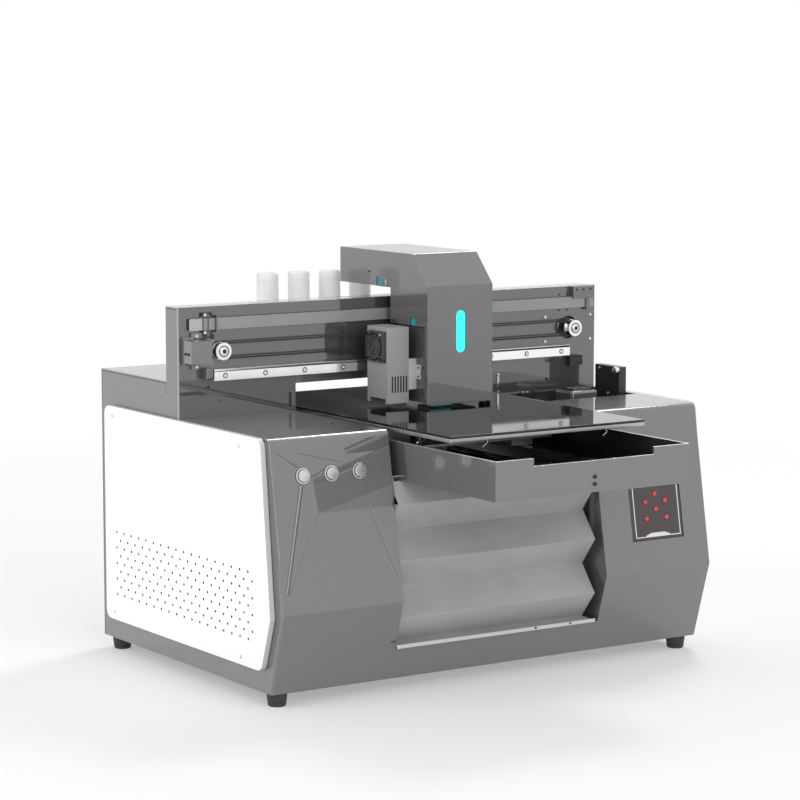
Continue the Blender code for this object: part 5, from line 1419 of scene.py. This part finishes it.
@dataclass
class CuringLamp(Maker):
    """The lamp's housing, its fan behind a wire guard, and the lens."""

    slot_count: int = 6
    side_x: float = -0.0182
    slot_x: tuple[float, float] = (-0.0565, -0.0345)
    slot_z: tuple[float, float] = (0.3605, 0.3825)
    fan_screw: float = 0.016
    wire_radius: float = 0.0006
    guard_rings: tuple[float, ...] = (0.0050, 0.0085, 0.0120, 0.0155)

    def build(self) -> None:
        """Builds and dresses the lamp."""
        housing = self.refined("lamp_housing", "lamp_grey_paint", "carriage", "satin_aluminium", 0.0006)
        self.build_slots(housing)
        self.build_bracket()
        self.build_side_plate()
        self.refined("fan_rotor", "fan_plastic", "fan", "fan_black", 0.0002, 1)
        self.refined("fan_frame", "fan_plastic", "carriage", "fan_black", 0.0003)
        fan = Box.of("fan_frame")
        y, z, far = fan.centre.y, fan.centre.z, self.fan_screw
        corners = [(fan.low.x, y + dy, z + dz) for dy, dz in ((far, far), (far, -far), (-far, -far))]
        self.screws.set("fan_screws", corners, LEFT, 0.0019, "carriage", ScrewLook.DARK)
        # one fan screw takes bright steel while its like screws are black: a painted highlight
        self.screws.set("fan_bright_screw", [(fan.low.x, y - far, z + far)], LEFT, 0.0021, "carriage")
        self.build_guard(Vector((fan.low.x, y, z)))

    def build_guard(self, middle: Vector) -> None:
        """Bends the fan's guard from rings and four spokes of wire."""
        wire = self.wire_radius
        guard = [lathe("guard", ((radius + wire, -0.0002), (radius + wire, wire), (radius - wire, wire),
                                 (radius - wire, -0.0002)), middle, LEFT, 36, closed=True)
                 for radius in self.guard_rings]
        for turn in range(4):
            spoke = block("guard", (middle.x - 0.0005, -wire, 0.0045), (middle.x + 0.0002, wire, 0.0195))
            spoke.rotation_euler = Euler((math.radians(45.0 + 90.0 * turn), 0.0, 0.0))
            spoke.location = (0.0, middle.y, middle.z)
            guard.append(settle("guard"))
        self.dress(merge("fan_guard", guard), "guard_wire", "carriage", "fan_black")

    def build_slots(self, housing: bpy.types.Object) -> None:
        """Cuts the row of upright vents in the housing's front, their walls painted near-black as painted
        shade.
        """
        face = Box.of("lamp_housing").low.y
        cuts = []
        for number in range(self.slot_count):
            x = self.slot_x[0] + number * (self.slot_x[1] - self.slot_x[0]) / (self.slot_count - 1)
            cut = block("vent", (x - 0.0011, face - 0.001, self.slot_z[0]),
                        (x + 0.0011, face + 0.0011, self.slot_z[1]))
            bevel(cut, runs_deep, 0.0010, 3)
            # the vents' walls take near-black paint: painted shade inside the vents
            cut.data.materials.append(self.finishes.get("satin_black_paint"))
            cuts.append(cut)
        carve(housing, cuts, keep_finish=True)
        smooth(housing)

    def build_bracket(self) -> None:
        """Adds the bracket's front plate, with an ear screwed to the head's side plate."""
        lamp, side = Box.of("lamp_housing"), self.side_x
        plate = block("lamp_bracket", (self.slot_x[1] + 0.0025, lamp.low.y + 0.0002, 0.3635),
                      (side, lamp.low.y + 0.0018, 0.4045))
        ear = block("ear", (side - 0.0010, 0.0255, 0.3775), (side, lamp.low.y + 0.0018, 0.3965))
        carve(ear, [block("nick", (side - 0.002, 0.0240, z), (side + 0.001, 0.0278, z + 0.0020))
                    for z in (0.3835, 0.3885)])
        both = merge("lamp_bracket_plate", [plate, ear])
        soften(both, 0.0003)
        self.dress(both, "bracket_grey_paint", "carriage", "satin_aluminium")
        pad = block("bracket_pad", (side - 0.0004, 0.0160, 0.3710), (side + 0.0002, 0.0330, 0.4050))
        bevel(pad, runs_across, 0.0025, 3)
        self.dress(pad, "head_grey_paint", "carriage", "dark_metal")
        places = [(side - proud, y, z) for proud, y, z in (
            (0.0010, 0.0300, 0.3810), (0.0010, 0.0300, 0.3925), (0.0004, 0.0195, 0.3930))]
        self.screws.set("bracket_screws", places, LEFT, 0.0013, "carriage", ScrewLook.DARK)

    def build_side_plate(self) -> None:
        """Closes the head's left side with a plate, cut out round the lamp's bracket."""
        side = self.side_x
        plate = block("head_side_plate", (side, 0.0075, 0.3465), (side + 0.0014, 0.0835, 0.4462))
        carve(plate, [block("room", (side - 0.001, 0.0553, 0.3610), (side + 0.003, 0.0675, 0.4040))])
        bevel(plate, lambda middle, way: runs_across(middle, way) and middle.y < 0.01, 0.0015, 3)
        self.dress(plate, "hood_grey_paint", "carriage", "dark_metal")
        self.screws.set("side_plate_screws", [(side, 0.0188, 0.3591)], LEFT, 0.0011, "carriage",
                        ScrewLook.DARK)
        pin = block("side_plate_pin", (side - 0.0005, 0.0236, 0.3484), (side, 0.0248, 0.3532))
        self.dress(pin, "screw_steel", "carriage", "rail_steel")


# -------------------------------------------------------------- the print bed


@dataclass
class PrintBed(Maker):
    """The glass bed, its frame and slide, and the trough with rails and drive."""

    post_x: float = -0.080
    side_pin: Point = (-0.1486, -0.1180, 0.2770)
    tray_wall: float = 0.0022
    tray_half_width: float = 0.1475
    hooks: tuple[tuple[Point, ...], ...] = (
        ((-0.0940, -0.2340, 0.3329), (-0.0935, -0.2340, 0.3285), (-0.0985, -0.2315, 0.3238)),
        ((0.0890, -0.2340, 0.3329), (0.0925, -0.2335, 0.3285), (0.0885, -0.2305, 0.3240)),
        ((-0.1250, -0.1475, 0.3329), (-0.1262, -0.1482, 0.3262), (-0.1480, -0.1600, 0.3246)))

    def build(self) -> None:
        """Builds and dresses the bed."""
        self.refined("glass_bed", "black_bed_glass", "table", "bed_glass", 0.0005)
        self.refined("bed_frame", "satin_aluminium_sheet", "table", "satin_aluminium", 0.0007)
        slide = self.refined("y_slide", "satin_aluminium_sheet", "table", "satin_aluminium", 0.0006)
        # the slide's upright faces left of the post take the darkest grey: painted shade under the bed
        self.repaint(slide, lambda centre, normal: centre.x < self.post_x and abs(normal.z) < 0.5,
                     "beam_grey_paint")
        trough = self.refined("bed_tray", "body_grey_paint", "bed", "body_paint")
        self.paint_node("ground_rail_steel", "y_rail_left", "y_rail_right", "y_screw")
        self.paint_node("satin_black_paint", "y_motor")
        tray = Box.of("bed_tray")
        wall, half = self.tray_wall, self.tray_half_width
        low, high = Vector((-half, tray.low.y + wall, 0.2735)), Vector((half, tray.high.y - wall, 0.3202))
        # the faces inside the trough take near-black paint: painted shade in the trough
        self.repaint(trough, lambda centre, _normal: all(
            low[i] < centre[i] < high[i] for i in range(3)), "satin_black_paint")
        # the trough's top rims take a near-white grey: a painted highlight
        self.repaint(trough, lambda centre, normal: normal.z > 0.3 and (
            centre.z > tray.high.z - 0.0007 or centre.y < tray.low.y + 0.0024 and centre.z > 0.29),
            "edge_grey_paint")
        self.screws.set("tray_front_screws", [(0.0, tray.low.y, z) for z in (0.291, 0.282)],
                        FRONT, 0.0025, "bed", ScrewLook.PAINTED)
        steps = ((0.0013, 0.0), (0.0013, 0.0062), (0.0008, 0.0066), (0.0008, 0.0100))
        self.turned("tray_side_pin", steps, self.side_pin, LEFT, 20, "bright_chrome", "bed", "rail_steel")
        hooks: list[bpy.types.Object] = []
        for bend in self.hooks:
            for start, end in zip(bend, bend[1:]):
                reach = Vector(end) - Vector(start)
                steps = ((0.0009, 0.0), (0.0009, reach.length), (0.0004, reach.length + 0.0004))
                hooks.append(lathe("hook", steps, start, tuple(reach.normalized()), 14))
        self.dress(merge("table_hooks", hooks), "bright_chrome", "table", "rail_steel")


@dataclass
class DustCover(Maker):
    """The folded cover between the front sill and the trough."""

    fold_radius: float = 0.0022
    ridge_y: float = -0.1350
    valley_y: float = -0.1065
    webs: tuple[tuple[float, float, float], ...] = (
        (0.0645, 0.0987, 0.1349), (0.1349, 0.1711, 0.2073), (0.2073, 0.2435, 0.2756))
    kept: float = 0.2826
    fixed_end: float = 0.0625
    shade_strip_y: float = -0.0985
    shade_strip_x: tuple[float, float] = (-0.1599, 0.1515)
    shade_strip_width: float = 0.0084
    shade_strip_top: float = 0.3160
    head_z: tuple[float, float] = (0.2600, 0.2716)
    web_thickness: float = 0.0006
    web_inner: float = 0.1495

    def build(self) -> None:
        """Builds the folded cloth with soft ridges, its lip, strips and webs, and gives the cloth's pieces
        meshes of their own.
        """
        cover = self.refined("bellows", "bellows_cloth", "body", "bellows_fabric",
                             self.fold_radius, 5)
        area = Box.of("bellows")
        self.bar("cover_lip", (area.low.x - 0.0038, area.low.y - 0.0022, self.fixed_end - 0.0020),
                 (area.high.x - 0.001, area.low.y - 0.0012, self.fixed_end + 0.0028), 0.0003,
                 "bracket_grey_paint", "body", "satin_aluminium")
        self.screws.set("lip_screws",
                        [(x, area.low.y - 0.0022, self.fixed_end + 0.0008) for x in (0.052, 0.108)],
                        FRONT, 0.0013, "body", ScrewLook.DARK)
        # near-black strips at the well's sides close the see-through gaps beside the folds: painted shade
        shade_strips = [block("seal", (x, self.shade_strip_y, self.fixed_end + 0.0015),
                       (x + self.shade_strip_width, self.shade_strip_y + 0.0010, self.shade_strip_top)) for x in self.shade_strip_x]
        self.dress(merge("well_seals", shade_strips), "satin_black_paint", "body", "black_rubber")
        head = self.bar("cover_head", (area.low.x + 0.0001, self.valley_y, self.head_z[0]),
                        (area.high.x - 0.0001, self.valley_y + 0.0008, self.head_z[1]), 0.0002,
                        "bellows_cloth", "body", "bellows_fabric")
        left = self.build_webs("left", area.low.x + 0.0001)
        right = self.build_webs("right", area.high.x - self.web_thickness - 0.0001)
        for piece in (cover, head, left, right):
            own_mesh(piece)

    def build_webs(self, side: str, edge: float) -> bpy.types.Object:
        """Closes one end of each fold with a web of cloth.

        Args:
            side: left or right.
            edge: the x of the webs' left face.

        Returns:
            The webs.
        """
        webs, far = [], edge + self.web_thickness
        for low, ridge, high in self.webs:
            web = block("web", (edge, self.ridge_y, low), (far, self.valley_y, high))
            edit_faces(web, is_front)
            bpy.ops.transform.resize(value=(1.0, 1.0, 0.02), center_override=(edge, self.ridge_y, ridge))
            done()
            webs.append(web)
        ridge, high = self.webs[-1][1:]
        top = block("web", (edge, self.ridge_y + 0.0003, ridge), (far, self.valley_y, high))
        edit_edges(top, lambda middle, way: middle.y < self.ridge_y + 0.001 and middle.z > high - 0.001
                   and runs_across(middle, way))
        bpy.ops.transform.translate(value=(0.0, 0.0122, 0.0))
        done()
        webs.append(top)
        inner = -self.web_inner if side == "left" else self.web_inner
        webs.append(block("web", (min(edge, inner), self.valley_y + 0.0001, 0.2620),
                          (max(far, inner), self.valley_y + 0.0007, high)))
        closed = merge(f"{side}_fold_webs", webs)
        self.dress(closed, "bellows_cloth", "body", "bellows_fabric")
        return closed


@dataclass
class Lift(Maker):
    """Screws, rods and motor inside the towers."""

    def build(self) -> None:
        """Dresses the lift's nodes."""
        self.paint_node("shaft_steel", "lift_screw_left", "lift_screw_right", "guide_rod_left",
                        "guide_rod_right")
        self.paint_node("satin_black_paint", "lift_motor")


# ------------------------------------------------- controls, service and inks


@dataclass
class Controls(Maker):
    """Push buttons in their rings, the recessed console and the raised lines on the left front, painted as
    shade and highlight.
    """

    bezel_x: tuple[float, float] = (0.2157, 0.2900)
    bezel_z: tuple[float, float] = (0.1660, 0.2325)
    bezel_depth: float = -0.0013
    bezel_steps: tuple[tuple[float, float], ...] = ((0.0016, 0.0200), (0.0030, 0.0165), (0.0042, 0.0125))
    # x and height of each end and a width weight of each raised line: the first table takes painted shade,
    # the second a painted highlight
    dark_creases: tuple[tuple[float, float, float, float, float], ...] = (
        (-0.3236, 0.3184, -0.2972, 0.2999, 1.0), (-0.2940, 0.3172, -0.2329, 0.3014, 0.5),
        (-0.2792, 0.2869, -0.2586, 0.2952, 0.9), (-0.2719, 0.2807, -0.2585, 0.2829, 0.8),
        (-0.2379, 0.2925, -0.2175, 0.2975, 0.8), (-0.2010, 0.3011, -0.1868, 0.3089, 0.5),
        (-0.2965, 0.2775, -0.3285, 0.1529, 1.0), (-0.2915, 0.2775, -0.3262, 0.1480, 1.4),
        (-0.2657, 0.2543, -0.3245, 0.1480, 0.6), (-0.1989, 0.2475, -0.1640, 0.1524, 0.6))
    light_creases: tuple[tuple[float, float, float, float, float], ...] = (
        (-0.3225, 0.3172, -0.2980, 0.2984, 0.8), (-0.3201, 0.3148, -0.2997, 0.2935, 0.6),
        (-0.2781, 0.2847, -0.2581, 0.2894, 0.9), (-0.2385, 0.2868, -0.2180, 0.2929, 0.9),
        (-0.1842, 0.3076, -0.1640, 0.3150, 0.6), (-0.2941, 0.2775, -0.3275, 0.1500, 1.2),
        (-0.2292, 0.2501, -0.1650, 0.1518, 0.8), (-0.1976, 0.2473, -0.1637, 0.1540, 1.6))

    def build(self) -> None:
        """Builds and dresses the controls."""
        slope = Slope.from_record(self.frame)
        self.refined("control_panel", "console_plastic", "body", "console_brown", 0.0004)
        for number in range(1, 7):
            self.build_key(number, slope)
        for number in range(1, 4):
            self.build_button(number, slope)
        self.build_bezel(slope)
        self.build_shade_lines(slope)

    def build_key(self, number: int, slope: Slope) -> None:
        """Turns a red key with a domed cap."""
        middle, radius, half = slope.round_piece(f"key_{number}")
        steps = ((radius, -half), (radius, half - 0.0009), (radius * 0.93, half - 0.0005),
                 (radius * 0.72, half - 0.00015), (radius * 0.4, half), (radius * 0.05, half + 0.00002))
        self.turned(f"key_{number}_cap", steps, middle, slope.normal, 24, "key_red_plastic",
                    f"console_key_{number}", "key_red", (f"key_{number}",), 60.0)

    def build_button(self, number: int, slope: Slope) -> None:
        """Turns a push button with a dished face, and its ring on the slope."""
        name = f"push_button_{number}"
        middle, radius, half = slope.round_piece(name)
        steps = ((radius, -half), (radius, half - 0.0008), (radius - 0.0008, half),
                 (radius * 0.5, half + 0.0001), (radius * 0.1, half + 0.00015))
        self.turned(f"{name}_cap", steps, middle, slope.normal, 48, "button_silver", f"button_{number}",
                    "button_chrome", (name,), 25.0)
        inner, seat = radius + 0.0005, slope.under(middle)
        section = ((inner + 0.0022, 0.0001), (inner + 0.0022, 0.0008), (inner + 0.0016, 0.0013),
                   (inner + 0.0005, 0.0013), (inner, 0.0009), (inner, 0.0001))
        self.turned(f"{name}_ring", section, seat, slope.normal, 48, "button_silver", "body", "button_chrome",
                    angle=25.0, closed=True)
        section = ((inner + 0.0029, 0.0), (inner + 0.0029, 0.0003),
                   (inner + 0.0020, 0.0003), (inner + 0.0020, 0.0))
        self.turned(f"{name}_gasket", section, seat, slope.normal, 48, "foot_rubber", "body", "black_rubber",
                    angle=40.0, closed=True)

    def build_bezel(self, slope: Slope) -> None:
        """Edges the console's opening with bright strips and a stepped bottom bar."""
        middle = Box.of("control_panel").centre.x
        (left, right), (low, high) = self.bezel_x, self.bezel_z
        runs = [(x, low, x, high, 0.0013, 0.4) for x in (left, right)]
        runs.append((left - 0.0006, low, right + 0.0006, low, 0.0018, 0.4))
        runs += [(middle - half, low + rise, middle + half, low + rise, 0.0020, 0.8)
                 for rise, half in self.bezel_steps]
        strips = [slope.strip("bezel", slope.at(x0, z0, self.bezel_depth), slope.at(x1, z1, self.bezel_depth),
                              width, 0.0011, crown) for x0, z0, x1, z1, width, crown in runs]
        self.dress(merge("console_bezel", strips), "bright_chrome", "body", "button_chrome")

    def build_shade_lines(self, slope: Slope) -> None:
        """Raises faint ridges that run to the buttons, painted darker and lighter than the body: painted
        shade and painted highlight lines.
        """
        for name, painted_lines, finish in (("dark_creases", self.dark_creases, "crease_shade_paint"),
                                      ("light_creases", self.light_creases, "crease_light_paint")):
            ridges = [slope.strip("crease", slope.at(x0, z0), slope.at(x1, z1), 0.0011 * weight, 0.00025, 0.3)
                      for x0, z0, x1, z1, weight in painted_lines]
            self.dress(merge(name, ridges), finish, "body", "body_paint")


@dataclass
class ServiceBay(Maker):
    """The bay with the guard plate, the capping station and its pad."""

    wiper_x: tuple[float, float] = (0.2605, 0.2745)

    def build(self) -> None:
        """Builds and dresses the bay."""
        self.refined("service_shelf", "satin_black_paint", "body", "dark_metal", 0.0006)
        self.refined("cap_station", "body_grey_paint", "body", "body_paint", 0.0007)
        self.refined("cap_pad", "head_black_plastic", "cap", "black_rubber", 0.0008)
        pad = Box.of("cap_pad")
        wipers = []
        for x in self.wiper_x:
            wiper = block("wiper", (x - 0.0035, pad.centre.y - 0.007, pad.high.z - 0.0006),
                          (x + 0.0035, pad.centre.y + 0.007, pad.high.z + 0.0001))
            inset(wiper, is_top, 0.0008, -0.0004)
            wipers.append(wiper)
        self.dress(merge("cap_seals", wipers), "wiper_white", "cap", "bottle_white")
        self.build_guard()
        holder = block("sensor_holder", (0.2020, 0.1045, 0.3285), (0.2235, 0.1127, 0.3365))
        cap = block("cap", (0.2230, 0.1035, 0.3272), (0.2275, 0.1127, 0.3378))
        holder = merge("sensor_holder", [holder, cap])
        soften(holder, 0.0004)
        self.dress(holder, "satin_black_paint", "body", "dark_metal")
        self.screws.set("sensor_screws", [(x, 0.1082, 0.3365) for x in (0.2070, 0.2145)], UP, 0.0017, "body")

    def build_guard(self) -> None:
        """Adds the guard plate's knob and screws."""
        shelf = Box.of("service_shelf")
        face = shelf.high.x - 0.0125
        steps = ((0.0026, 0.0), (0.0026, 0.003), (0.0045, 0.0036), (0.0048, 0.0046), (0.0048, 0.0068),
                 (0.0042, 0.0076), (0.0012, 0.0080))
        self.turned("guard_knob", steps, (face, 0.0330, 0.3690), LEFT, 32, "bright_chrome", "body",
                    "button_chrome")
        self.screws.set("guard_screws", [(face, 0.0752, 0.3682), (face, 0.0554, 0.3340)], LEFT, 0.0021,
                        "body")


@dataclass
class InkSupply(Maker):
    """The rack and the row of translucent bottles."""

    def build(self) -> None:
        """Builds and dresses the rack and bottles."""
        self.refined("ink_rack", "satin_aluminium_sheet", "body", "satin_aluminium", 0.0006)
        for number in range(1, 5):
            self.build_bottle(f"ink_bottle_{number}")

    def build_bottle(self, node: str) -> None:
        """Turns a straight bottle with a foot, a seam and a low lid."""
        area = Box.of(node)
        radius, height = area.size.x / 2.0, area.size.z
        steps = ((radius - 0.003, 0.0), (radius - 0.0008, 0.0008), (radius, 0.003), (radius, height - 0.0125),
                 (radius - 0.0006, height - 0.0120), (radius - 0.0006, height - 0.0112),
                 (radius, height - 0.0107), (radius, height - 0.0022), (radius - 0.0010, height - 0.0006),
                 (radius - 0.0030, height), (radius - 0.0045, height - 0.0006), (0.002, height - 0.0008))
        self.turned(f"{node}_turned", steps, (area.centre.x, area.centre.y, area.low.z), UP, 48,
                    "bottle_plastic", "body", "bottle_white", (node,))


def main() -> None:
    """Builds the printer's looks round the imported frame, in order."""
    logging.basicConfig(level=logging.INFO, format="%(name)s: %(message)s")
    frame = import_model()
    finishes = Finishes()
    screws = Fasteners(frame, finishes)
    Studio().build()
    for maker in (Casing, Portal, CrossDrive, Carriage, CuringLamp, PrintBed, DustCover, Lift, Controls,
                  ServiceBay, InkSupply):
        LOG.info("%s: started", maker.__name__)
        maker(frame, finishes, screws).build()
    screws.put_away()
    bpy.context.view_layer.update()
    deselect()


if __name__ == "__main__":
    main()
